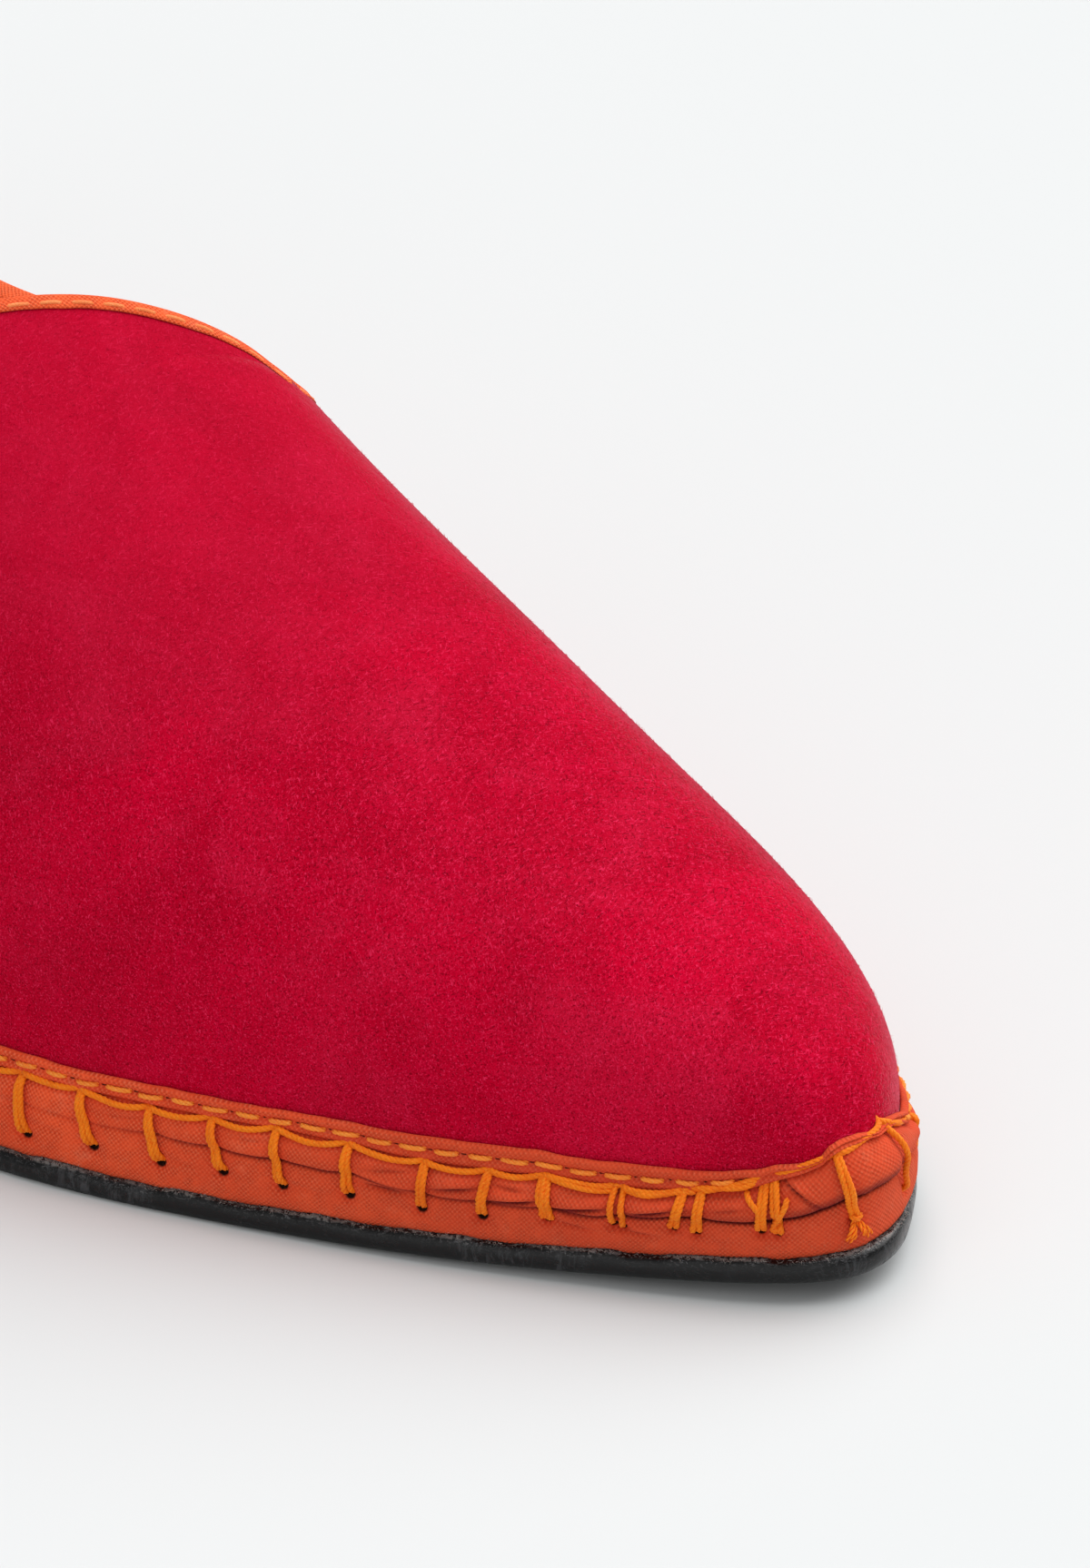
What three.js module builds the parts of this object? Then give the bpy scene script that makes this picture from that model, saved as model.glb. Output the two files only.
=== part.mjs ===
// Ballet flat for the right foot: a suede upper sewn by hand to a flat, cloth-covered sole.
// Millimetres, +Z up, +X towards the toe, +Y towards the inner (medial) side of the foot.
// The origin is on the floor, under the middle of the outsole's bounding box.
import * as THREE from "three";
import { mergeVertices } from "three/addons/utils/BufferGeometryUtils.js";

// Driving dimensions
const FEATHER_LENGTH = 248; // the upper's bottom edge, heel to toe
const TOE_SPRING = 2.5; // rise of the sole at the tip of the toe
const TOE_SPRING_RUN = 60; // length over which the sole rises
const ARCH_RISE = 1.6; // rise of the sole at its waist
const ARCH_FRONT = 122; // where the arch starts and ends, from the toe
const ARCH_BACK = 206;
const SEAT_GAP = 0.3; // clearance between neighbouring pieces
const OUTSOLE_THICKNESS = 2.4;
const OUTSOLE_LEDGE = 2.6; // how far the outsole stands out past the feather line
const OUTSOLE_TOE_TRIM = 0.1; // share by which a layer's ledge is pared away at the tip of the toe
const MIDSOLE_TOE_TRIM = 0.35;
const TOE_TRIM_RUN = 20; // length over which it is pared
const FEATHER_HEIGHT = 9.0; // bottom edge of the upper above the floor
const WALL = 1.8; // suede and lining together
const INSOLE_THICKNESS = 2.0;
const BINDING_WIDTH = 1.2; // each leg of the tape folded over the collar
const BINDING_THICKNESS = 0.4;
const BINDING_CROWN = 0.2; // how far the folded tape is rounded over the collar's edge
const LATERAL_FULLNESS = 2.3; // exponents of the superelliptic half sections of the vamp
const MEDIAL_FULLNESS = 2.4;
const HEEL_FULLNESS = 2.2; // the exponent of both sides at the heel
const THROAT = 98.7; // front of the foot opening, from the toe
const HEEL_LEAN = 5; // how far the back of the heel leans forward at the collar
const HEEL_LEAN_RUN = 60; // length from the heel over which the lean fades out
const HEEL_BULGE = 0.5; // share of the heel's height up to which its back bulges
const HEEL_HEIGHT = 61.5; // collar at the back of the heel

// The last, a row for each section: distance from the toe, half widths of the feather line on
// each side of the foot's axis, height of the ridge above the feather line, and how far the
// ridge lies to the medial side. Behind the throat the ridge is the last's, not the shoe's.
const SECTIONS = table("fromToe lateral medial ridge shift", [
  [0, 0, 0, 0, 0],
  [1.5, 3.8, 4.9, 5.5, 0.1],
  [5, 7.3, 9.75, 9.7, 0.3],
  [11, 11.8, 15.6, 12.9, 0.6],
  [20, 17.8, 21.0, 17.2, 1.0],
  [33, 25.7, 25.2, 22.7, 0.6],
  [50, 34.4, 27.5, 29.5, 0],
  [70, 42.7, 28.7, 38.7, -2.0],
  [95, 46.5, 29.3, 51.0, -4.0],
  [107, 46.4, 29.1, 58.1, -4.5],
  [122, 45.5, 28.5, 65.9, -5.0],
  [150, 40.0, 24.5, 74.0, -4.0],
  [180, 33.0, 24.0, 80.0, -2.0],
  [205, 29.0, 26.5, 87.0, 0],
  [225, 25.5, 25.0, 92.0, 0],
  [240, 18.0, 18.0, 96.0, 0],
  [245.5, 10.6, 10.6, 97.0, 0],
  [FEATHER_LENGTH, 0, 0, 98.0, 0],
]);

// The collar behind the throat: how far round each section it lies, in degrees up from the
// feather line on its own side. The ridge is at 90, and the throat lies past it, medially.
const COLLAR = table("fromToe lateral medial", [
  [THROAT, 123.2, 56.8],
  [99, 120.6, 53.2],
  [99.7, 118.3, 50.4],
  [100.7, 114.9, 48.1],
  [102, 108.5, 46.2],
  [103.7, 101, 44.7],
  [106.2, 92.8, 43.1],
  [109.4, 82.4, 41.2],
  [112.4, 73, 39.4],
  [117.5, 60, 36],
  [125, 47.3, 31.4],
  [136, 37, 27.1],
  [150, 30.5, 24.3],
  [170, 27, 24.6],
  [195, 27.5, 27],
  [220, 30, 30],
  [240, 32, 32],
  [FEATHER_LENGTH, 32.5, 32.5],
]);

// Top edge of the rand above the floor line: it is sewn higher round the tip of the toe.
const RAND_TOP = table("fromToe lateral medial", [
  [0, 13.7, 13.7],
  [0.6, 13.1, 13.6],
  [2, 12.7, 13.0],
  [4.5, 12.2, 12.2],
  [9, 11.1, 11.7],
  [14, 10.9, 11.6],
  [20, 11.1, 11.6],
  [35, 11.5, 11.7],
  [55, 11.9, 11.9],
  [90, 11.9, 11.9],
  [160, 11.9, 11.9],
  [FEATHER_LENGTH, 11.9, 11.9],
]);

// Side profiles of the sole's two layers and the rand: how far each point stands out past the
// feather line, or past the upper for the rand, and its height. The rand's are shares of its own.
const OUTSOLE_EDGE = [
  [2.2, 0],
  [2.5, 0.3],
  [OUTSOLE_LEDGE, 0.9],
  [OUTSOLE_LEDGE, 1.8],
  [2.4, OUTSOLE_THICKNESS],
];
const MIDSOLE_EDGE = [
  [1.9, OUTSOLE_THICKNESS + SEAT_GAP],
  [2.2, 3.6],
  [2.2, 5.2],
  [1.8, 7.2],
  [0.8, FEATHER_HEIGHT - SEAT_GAP],
];
const RAND_EDGE = [
  [0.8, 0],
  [1.1, 0.25],
  [1.1, 0.55],
  [1.0, 0.8],
  [0.7, 1],
];

// Sampling
const STATIONS_BEHIND_THROAT = 28;
const STATIONS_BEFORE_THROAT = 22;
const SECTION_STEPS = 12; // from the feather line to the ridge or the collar
const OUTLINE_STEPS = 48; // per side of the sole
const WELD = 1e-3;
const TINY = 1e-4;
const BISECTIONS = 30;

const SIDES = {
  lateral: { sign: -1, fullness: LATERAL_FULLNESS },
  medial: { sign: 1, fullness: MEDIAL_FULLNESS },
};

// Tables and curves

function table(names, rows) {
  const columns = {};
  names.split(" ").forEach((name, c) => (columns[name] = rows.map((row) => row[c])));
  return columns;
}

// Natural cubic spline through (knots, values), with the knots in rising order.
function spline(knots, values) {
  const last = knots.length - 1;
  const bend = new Array(last + 1).fill(0);
  const carry = new Array(last + 1).fill(0);
  for (let i = 1; i < last; i++) {
    const before = knots[i] - knots[i - 1];
    const after = knots[i + 1] - knots[i];
    const change = (values[i + 1] - values[i]) / after - (values[i] - values[i - 1]) / before;
    const pivot = 2 * (before + after) - before * carry[i - 1];
    carry[i] = after / pivot;
    bend[i] = (6 * change - before * bend[i - 1]) / pivot;
  }
  for (let i = last - 1; i > 0; i--) bend[i] -= carry[i] * bend[i + 1];
  return (t) => {
    let i = knots.findIndex((k) => t < k) - 1;
    if (i < 0) i = t < knots[0] ? 0 : last - 1;
    const h = knots[i + 1] - knots[i];
    const a = (knots[i + 1] - t) / h;
    const b = 1 - a;
    const lift = ((a ** 3 - a) * bend[i] + (b ** 3 - b) * bend[i + 1]) * (h * h / 6);
    return a * values[i] + b * values[i + 1] + lift;
  };
}

// Along the foot a station is an angle, 0 at the heel and PI at the toe, so that the rounded
// ends of the outline are smooth in it.
const stationAt = (fromToe) => 2 * Math.acos(Math.sqrt(fromToe / FEATHER_LENGTH));
const fromToeAt = (station) => FEATHER_LENGTH * Math.cos(station / 2) ** 2;

function splineAlongFoot(columns, name) {
  const knots = columns.fromToe.map(stationAt).reverse();
  return spline(knots, [...columns[name]].reverse());
}

const halfWidth = {
  lateral: splineAlongFoot(SECTIONS, "lateral"),
  medial: splineAlongFoot(SECTIONS, "medial"),
};
const ridge = splineAlongFoot(SECTIONS, "ridge");
const ridgeShift = splineAlongFoot(SECTIONS, "shift");
const randTop = {
  lateral: splineAlongFoot(RAND_TOP, "lateral"),
  medial: splineAlongFoot(RAND_TOP, "medial"),
};
const throatStation = stationAt(THROAT);

// The collar leaves the throat square to the foot, so it is smooth in the root of the distance.
const behindThroat = (fromToe) => Math.sqrt(Math.max(0, fromToe - THROAT));
const collarDegrees = {
  lateral: spline(COLLAR.fromToe.map(behindThroat), COLLAR.lateral),
  medial: spline(COLLAR.fromToe.map(behindThroat), COLLAR.medial),
};

// How far the floor line of the sole rises at the toe and at the arch.
function rise(fromToe) {
  const toe = Math.max(0, 1 - fromToe / TOE_SPRING_RUN) ** 2;
  const arch = THREE.MathUtils.clamp((fromToe - ARCH_FRONT) / (ARCH_BACK - ARCH_FRONT), 0, 1);
  return TOE_SPRING * toe + ARCH_RISE * Math.sin(Math.PI * arch) ** 2;
}

// The foot's axis runs through the toe and the heel, off the middle of the outsole.
const widest = (side) => {
  const stations = Array.from({ length: OUTLINE_STEPS }, (_, i) => (Math.PI * i) / OUTLINE_STEPS);
  return Math.max(...stations.map(halfWidth[side]));
};
const AXIS_X = -FEATHER_LENGTH / 2;
const AXIS_Y = (widest("lateral") - widest("medial")) / 2;

// The last's surface

// Leans the back of the heel forward with height. Low down it bulges a little instead.
function heelLean(fromHeel, height) {
  const up = (height - FEATHER_HEIGHT) / (HEEL_HEIGHT - FEATHER_HEIGHT);
  const fade = Math.max(0, 1 - fromHeel / HEEL_LEAN_RUN) ** 2;
  return (HEEL_LEAN * up * (up - HEEL_BULGE) * fade) / (1 - HEEL_BULGE);
}

function fullnessAt(station, side) {
  const share = THREE.MathUtils.smoothstep(station, 0, throatStation);
  return THREE.MathUtils.lerp(HEEL_FULLNESS, SIDES[side].fullness, share);
}

// A point of the upper's outside. A section is one turn: 0 is the feather line on the lateral
// side, PI / 2 the ridge and PI the feather line on the medial side.
function lastPoint(station, turn) {
  const side = turn < Math.PI / 2 ? "lateral" : "medial";
  const { sign } = SIDES[side];
  const power = 2 / fullnessAt(station, side);
  const fromToe = fromToeAt(station);
  const shift = ridgeShift(station);
  const half = halfWidth[side](station) - sign * shift;
  const across = Math.abs(Math.cos(turn)) ** power;
  const up = Math.max(0, Math.sin(turn)) ** power;
  const z = FEATHER_HEIGHT + rise(fromToe) + ridge(station) * up;
  const fromHeel = FEATHER_LENGTH - fromToe;
  const x = AXIS_X + fromHeel + heelLean(fromHeel, z);
  return new THREE.Vector3(x, AXIS_Y + shift + sign * half * across, z);
}

// The outward normal there. At the toe the sections shrink to a point, and at the heel to a line.
function lastNormal(station, turn) {
  if (station > Math.PI - TINY) return new THREE.Vector3(1, 0, 0);
  const place = station < TINY ? Math.min(turn, Math.PI - turn) : turn;
  const end = Math.max(place, TINY);
  const round = lastPoint(station, end).sub(lastPoint(station, end - TINY));
  if (station < TINY) return new THREE.Vector3(-round.z, 0, round.x).normalize();
  const along = lastPoint(station + TINY, turn).sub(lastPoint(station - TINY, turn));
  return along.cross(round).normalize();
}

const insidePoint = (station, turn) =>
  lastPoint(station, turn).addScaledVector(lastNormal(station, turn), -WALL);

// Where each side's wall ends: at the collar, or in front of the throat on the line where the
// two sides join.
function wallEnd(station, side) {
  const behind = station > throatStation - TINY ? 0 : behindThroat(fromToeAt(station));
  const end = THREE.MathUtils.degToRad(collarDegrees[side](behind));
  return side === "lateral" ? end : Math.PI - end;
}

// Height of the last's surface above a point of the plan, or 0 outside the feather line.
function surfaceHeight(x, y) {
  const fromToe = FEATHER_LENGTH - (x - AXIS_X);
  if (fromToe <= 0 || fromToe >= FEATHER_LENGTH) return 0;
  const station = stationAt(fromToe);
  const aside = y - AXIS_Y - ridgeShift(station);
  const side = aside < 0 ? "lateral" : "medial";
  const { sign } = SIDES[side];
  const fullness = fullnessAt(station, side);
  const share = Math.abs(aside) / (halfWidth[side](station) - sign * ridgeShift(station));
  if (share >= 1) return 0;
  const up = (1 - share ** fullness) ** (1 / fullness);
  return FEATHER_HEIGHT + rise(fromToe) + ridge(station) * up;
}

// The feather line, once round from the heel along the lateral side, with its outward normals
function featherLine(steps) {
  const sideOf = (turn) => (turn <= Math.PI ? "lateral" : "medial");
  const stationOf = (turn) => Math.min(turn, 2 * Math.PI - turn);
  const at = (turn) => {
    const side = sideOf(turn);
    const y = AXIS_Y + SIDES[side].sign * halfWidth[side](stationOf(turn));
    return new THREE.Vector2(AXIS_X + FEATHER_LENGTH - fromToeAt(stationOf(turn)), y);
  };
  return Array.from({ length: 2 * steps }, (_, i) => {
    const turn = (Math.PI * i) / steps;
    const back = at((turn - TINY + 2 * Math.PI) % (2 * Math.PI));
    const along = at(turn + TINY).sub(back).normalize();
    return {
      point: at(turn),
      out: new THREE.Vector2(along.y, -along.x),
      side: sideOf(turn),
      station: stationOf(turn),
      fromToe: fromToeAt(stationOf(turn)),
    };
  });
}

// A point beside the feather line: how far out from it, and how high above the bent floor line.
const beside = ({ point, out, fromToe }, offset, height) =>
  new THREE.Vector3(
    point.x + out.x * offset,
    point.y + out.y * offset,
    height + rise(fromToe),
  );

// How far inside the feather line the upper's surface reaches a height above the floor line.
function surfaceInset({ point, out, fromToe }, height) {
  let near = 0;
  let far = 2 * FEATHER_HEIGHT;
  for (let i = 0; i < BISECTIONS; i++) {
    const middle = (near + far) / 2;
    const reached = surfaceHeight(point.x - out.x * middle, point.y - out.y * middle);
    if (reached < height + rise(fromToe)) near = middle;
    else far = middle;
  }
  return near;
}

// Closed meshes

// Collects four-sided faces, wound anticlockwise from outside, and welds them into one surface.
class Skin {
  constructor() {
    this.corners = [];
  }

  face(a, b, c, d) {
    for (const p of [a, b, c, a, c, d]) this.corners.push(p.x, p.y, p.z);
  }

  // Joins two rows of points; the second row lies to the left of the first, seen from outside.
  strip(right, left) {
    for (let i = 0; i + 1 < right.length; i++)
      this.face(right[i], right[i + 1], left[i + 1], left[i]);
  }

  geometry() {
    const loose = new THREE.BufferGeometry();
    loose.setAttribute("position", new THREE.Float32BufferAttribute(this.corners, 3));
    const welded = mergeVertices(loose, WELD);
    const { array } = welded.index;
    const kept = [];
    for (let i = 0; i < array.length; i += 3) {
      const [a, b, c] = array.subarray(i, i + 3);
      if (a !== b && b !== c && c !== a) kept.push(a, b, c);
    }
    welded.setIndex(kept);
    welded.computeVertexNormals();
    return welded;
  }
}

const closed = (row) => [...row, row[0]];

// A plate bounded by closed outlines, lowest first, with flat strips across its two faces.
function plate(outlines) {
  const skin = new Skin();
  for (let i = 0; i + 1 < outlines.length; i++)
    skin.strip(closed(outlines[i]), closed(outlines[i + 1]));
  const half = outlines[0].length / 2;
  const lateral = (ring) => ring.slice(0, half + 1);
  const medial = (ring) => [ring[0], ...ring.slice(half).reverse()];
  const bottom = outlines[0];
  const top = outlines[outlines.length - 1];
  skin.strip(medial(bottom), lateral(bottom));
  skin.strip(lateral(top), medial(top));
  return skin.geometry();
}

// A ring with the given closed sections, each wound anticlockwise as seen looking along the ring.
function hoop(sections) {
  const skin = new Skin();
  closed(sections).forEach((section, i, all) => {
    if (i > 0) skin.strip(closed(section), closed(all[i - 1]));
  });
  return skin.geometry();
}

// Sub-parts

function soleLayer(edge, toeTrim) {
  const line = featherLine(OUTLINE_STEPS);
  const kept = (p) => 1 - toeTrim * Math.max(0, 1 - p.fromToe / TOE_TRIM_RUN) ** 2;
  return plate(edge.map(([offset, h]) => line.map((p) => beside(p, offset * kept(p), h))));
}

function insoleShape() {
  const line = featherLine(OUTLINE_STEPS);
  const heights = [FEATHER_HEIGHT, FEATHER_HEIGHT + INSOLE_THICKNESS];
  const inset = (p, height) => surfaceInset(p, height) + WALL + SEAT_GAP;
  return plate(heights.map((h) => line.map((p) => beside(p, -inset(p, h), h))));
}

// The rand is a strip of cloth round the foot of the upper, which it follows.
function randShape() {
  const sections = featherLine(OUTLINE_STEPS).map((p) => {
    const height = randTop[p.side](p.station) - FEATHER_HEIGHT;
    const pointAt = (offset, share) => {
      const z = FEATHER_HEIGHT + share * height;
      return beside(p, offset - surfaceInset(p, z), z);
    };
    const outer = RAND_EDGE.map(([offset, share]) => pointAt(offset, share));
    const inner = RAND_EDGE.map(([, share]) => pointAt(SEAT_GAP, share)).reverse();
    return [...outer, ...inner];
  });
  return hoop(sections);
}

// Stations from heel to toe, close together where the collar rounds the throat.
function upperStations() {
  const behind = Array.from({ length: STATIONS_BEHIND_THROAT }, (_, i) => {
    const left = 1 - i / STATIONS_BEHIND_THROAT;
    return throatStation * (1 - left * left);
  });
  const before = Array.from({ length: STATIONS_BEFORE_THROAT + 1 }, (_, i) =>
    THREE.MathUtils.lerp(throatStation, Math.PI, i / STATIONS_BEFORE_THROAT));
  return [...behind, ...before];
}

// The upper is one shell: outside, inside, the bottom rim and the collar's rim.
function upperShape() {
  const skin = new Skin();
  const stations = upperStations();
  for (const side in SIDES) {
    const foot = side === "lateral" ? 0 : Math.PI;
    const turnAt = (s, step) => THREE.MathUtils.lerp(foot, wallEnd(s, side), step / SECTION_STEPS);
    const sheet = (place) =>
      Array.from({ length: SECTION_STEPS + 1 }, (_, step) =>
        stations.map((s) => place(s, turnAt(s, step))));
    const outside = sheet(lastPoint);
    const inside = sheet(insidePoint);
    const join = (lower, upper) =>
      side === "lateral" ? skin.strip(lower, upper) : skin.strip(upper, lower);
    for (let i = 0; i < SECTION_STEPS; i++) {
      join(outside[i], outside[i + 1]);
      join(inside[i + 1], inside[i]);
    }
    const opening = STATIONS_BEHIND_THROAT + 1;
    join(inside[0], outside[0]);
    join(outside[SECTION_STEPS].slice(0, opening), inside[SECTION_STEPS].slice(0, opening));
  }
  return skin.geometry();
}

// The collar's edge, once round from the heel along the lateral side to the throat and back.
function collarEdge() {
  const stations = upperStations().slice(0, STATIONS_BEHIND_THROAT + 1);
  const along = (side) =>
    stations.map((s) => {
      const turn = wallEnd(s, side);
      return { point: lastPoint(s, turn), out: lastNormal(s, turn) };
    });
  const medial = along("medial").reverse();
  return [...along("lateral"), ...medial.slice(1, -1)];
}

// A tape folded over the collar's edge. Its section is laid out in two lengths: down from the
// edge along the upper, and out from the upper's outside.
function bindingShape() {
  const near = SEAT_GAP;
  const far = SEAT_GAP + BINDING_THICKNESS;
  const middle = -WALL / 2;
  const section = [
    [BINDING_WIDTH, near],
    [BINDING_WIDTH, far],
    [0, far],
    [-far, middle + WALL / 2],
    [-far - BINDING_CROWN, middle],
    [-far, middle - WALL / 2],
    [0, -WALL - far],
    [BINDING_WIDTH, -WALL - far],
    [BINDING_WIDTH, -WALL - near],
    [-near, -WALL - near],
    [-near, near],
  ];
  const edge = collarEdge();
  const sections = edge.map(({ point, out }, i) => {
    const next = edge[(i + 1) % edge.length].point;
    const back = edge[(i + edge.length - 1) % edge.length].point;
    const along = next.clone().sub(back).normalize();
    const down = along.cross(out).normalize();
    return section.map(([drop, stand]) =>
      point.clone().addScaledVector(down, drop).addScaledVector(out, stand));
  });
  return hoop(sections);
}

// Assembly

function piece(name, geometry, color, roughness) {
  const material = new THREE.MeshStandardMaterial({ color, roughness, metalness: 0 });
  const mesh = new THREE.Mesh(geometry, material);
  mesh.name = name;
  return mesh;
}

const shoe = new THREE.Group();
shoe.add(
  piece("outsole", soleLayer(OUTSOLE_EDGE, OUTSOLE_TOE_TRIM), "#1d1e21", 0.55),
  piece("midsole", soleLayer(MIDSOLE_EDGE, MIDSOLE_TOE_TRIM), "#cd5531", 0.9),
  piece("rand", randShape(), "#d2583a", 0.9),
  piece("upper", upperShape(), "#be0a32", 0.95),
  piece("insole", insoleShape(), "#cf5a30", 0.9),
  piece("collar_binding", bindingShape(), "#dc6233", 0.9),
);

export default shoe;
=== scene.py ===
import math

import bpy
import numpy as np
from mathutils import Matrix, Vector


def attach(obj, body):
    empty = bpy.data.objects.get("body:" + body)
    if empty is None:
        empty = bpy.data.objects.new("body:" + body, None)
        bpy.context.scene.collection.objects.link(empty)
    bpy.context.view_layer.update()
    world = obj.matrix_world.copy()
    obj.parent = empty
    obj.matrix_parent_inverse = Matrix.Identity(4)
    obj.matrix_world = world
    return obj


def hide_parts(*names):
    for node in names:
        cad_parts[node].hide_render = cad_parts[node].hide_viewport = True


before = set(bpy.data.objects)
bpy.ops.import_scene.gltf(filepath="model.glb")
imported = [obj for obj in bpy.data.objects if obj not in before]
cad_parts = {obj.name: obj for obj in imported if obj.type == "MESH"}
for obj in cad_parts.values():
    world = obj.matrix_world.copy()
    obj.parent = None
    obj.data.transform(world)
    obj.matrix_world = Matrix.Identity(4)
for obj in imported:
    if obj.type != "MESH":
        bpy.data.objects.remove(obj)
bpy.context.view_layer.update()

MM = 0.001
SEED = 7

# The last, as in the part's source
FEATHER_LENGTH = 248.0
FEATHER_HEIGHT = 9.0
TOE_SPRING = 2.5
TOE_SPRING_RUN = 60.0
ARCH_RISE = 1.6
ARCH_FRONT = 122.0
ARCH_BACK = 206.0
LATERAL_FULLNESS = 2.3
MEDIAL_FULLNESS = 2.4
HEEL_FULLNESS = 2.2
THROAT = 98.7
HEEL_LEAN = 5.0
HEEL_LEAN_RUN = 60.0
HEEL_BULGE = 0.5
HEEL_HEIGHT = 61.5
OUTSOLE_TOE_TRIM = 0.1
MIDSOLE_TOE_TRIM = 0.35
TOE_TRIM_RUN = 20.0
# The ridge of the upper is rounded a little more softly than the solid's
RIDGE_ROUND = 0.25
RIDGE_BLEND = 0.35


def columns(names, rows):
    return dict(zip(names.split(), np.array(rows, float).T))


SECTIONS = columns("from_toe lateral medial ridge shift", [
    [0, 0, 0, 0, 0],
    [1.5, 3.8, 4.9, 5.5, 0.1],
    [5, 7.3, 9.75, 9.7, 0.3],
    [11, 11.8, 15.6, 12.9, 0.6],
    [20, 17.8, 21.0, 17.2, 1.0],
    [33, 25.7, 25.2, 22.7, 0.6],
    [50, 34.4, 27.5, 29.5, 0],
    [70, 42.7, 28.7, 38.7, -2.0],
    [95, 46.5, 29.3, 51.0, -4.0],
    [107, 46.4, 29.1, 58.1, -4.5],
    [122, 45.5, 28.5, 65.9, -5.0],
    [150, 40.0, 24.5, 74.0, -4.0],
    [180, 33.0, 24.0, 80.0, -2.0],
    [205, 29.0, 26.5, 87.0, 0],
    [225, 25.5, 25.0, 92.0, 0],
    [240, 18.0, 18.0, 96.0, 0],
    [245.5, 10.6, 10.6, 97.0, 0],
    [FEATHER_LENGTH, 0, 0, 98.0, 0],
])
COLLAR = columns("from_toe lateral medial", [
    [THROAT, 123.2, 56.8],
    [99, 120.6, 53.2],
    [99.7, 118.3, 50.4],
    [100.7, 114.9, 48.1],
    [102, 108.5, 46.2],
    [103.7, 101, 44.7],
    [106.2, 92.8, 43.1],
    [109.4, 82.4, 41.2],
    [112.4, 73, 39.4],
    [117.5, 60, 36],
    [125, 47.3, 31.4],
    [136, 37, 27.1],
    [150, 30.5, 24.3],
    [170, 27, 24.6],
    [195, 27.5, 27],
    [220, 30, 30],
    [240, 32, 32],
    [FEATHER_LENGTH, 32.5, 32.5],
])

# Layers of the upper
SUEDE = 1.0
LINING_GAP = 0.04
WALL = 1.8
INSOLE_CLEARANCE = 0.3
# Side of the insole: height over the feather line, and how far it is set back
INSOLE_EDGE = [[-0.1, 0.2], [0.3, 0], [1.4, 0], [1.85, 0.25], [2.0, 0.8]]

# Side of the sole: height and how far each layer stands out past the feather line
RUBBER_EDGE = [[0, 2.2], [0.25, 2.5], [0.8, 2.68], [1.3, 2.7], [1.65, 2.64], [1.95, 2.5], [2.18, 2.28],
               [2.33, 2.0], [2.4, 1.65]]
CLOTH_EDGE = columns("height offset", [
    [2.45, 1.78],
    [2.9, 2.1],
    [3.6, 2.27],
    [5.2, 2.3],
    [7.2, 2.05],
    [8.7, 1.65],
    [10.4, 1.3],
    [12, 1.05],
    [15, 0.9],
])
SEAM_HEIGHT = 2.45
SEAM_WAVER = 0.3
# Where the strip of the rand begins and ends, and the fold that runs along the cloth below it
BAND = columns("along groove top fold depth", [
    [-120, 10.3, 12.2, 7.2, 0.2],
    [-80, 9.2, 10.9, 6.6, 0.2],
    [-50, 8.3, 9.8, 6.0, 0.2],
    [-22, 7.4, 9.3, 5.8, 0.3],
    [-13, 8.9, 10.4, 7.0, 0.35],
    [-9, 10.9, 11.9, 7.7, 0.55],
    [-6, 12.3, 12.9, 7.9, 0.85],
    [-4, 12.5, 12.9, 8.0, 1.1],
    [-0.6, 12.9, 13.4, 8.1, 1.15],
    [2, 12.8, 13.3, 7.8, 1.1],
    [3.1, 12.4, 13.0, 7.6, 1.05],
    [3.9, 11.6, 12.1, 7.4, 1.0],
    [5.1, 11.1, 11.8, 7.0, 0.95],
    [8.2, 10.2, 11.8, 6.3, 0.8],
    [10, 9.5, 11.3, 6.2, 0.75],
    [13, 8.9, 10.8, 6.4, 0.7],
    [15, 8.8, 10.8, 6.5, 0.65],
    [23, 8.6, 11.1, 6.0, 0.45],
    [30, 9.2, 11.6, 6.4, 0.35],
    [42, 9.3, 11.9, 6.4, 0.35],
    [49, 10.1, 12.1, 7.4, 0.4],
    [57, 10.4, 12.3, 7.7, 0.45],
    [76, 10.4, 12.3, 7.6, 0.2],
    [84, 10.4, 12.3, 7.8, 0.14],
    [110, 10.3, 12.2, 7.4, 0.18],
])
# Short folds in the cloth: where, how far to each side, how deep, and how much they climb
FOLDS = columns("along height reach depth climb", [
    [6.2, 9.4, 1.6, 0.7, -0.75],
    [12.0, 7.6, 2.0, 0.25, 0.1],
    [19.6, 6.9, 2.2, 0.5, 0.12],
    [20.6, 4.6, 2.4, 0.35, -0.15],
    [26.4, 6.7, 2.6, 0.6, 0.1],
    [27.0, 5.0, 2.0, 0.35, -0.2],
    [32.8, 6.8, 2.4, 0.65, 0.1],
    [33.4, 8.1, 2.0, 0.35, -0.1],
    [38.6, 7.4, 2.6, 0.5, 0.12],
    [45.6, 6.5, 2.6, 0.55, -0.1],
    [45.0, 8.4, 2.4, 0.3, 0.06],
    [53.0, 5.2, 2.2, 0.2, -0.1],
    [59.5, 9.2, 2.4, 0.2, 0.05],
    [66.2, 5.6, 2.6, 0.2, -0.1],
    [72.6, 9.0, 2.6, 0.2, 0.05],
    [80.0, 6.0, 2.4, 0.2, -0.1],
])
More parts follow.
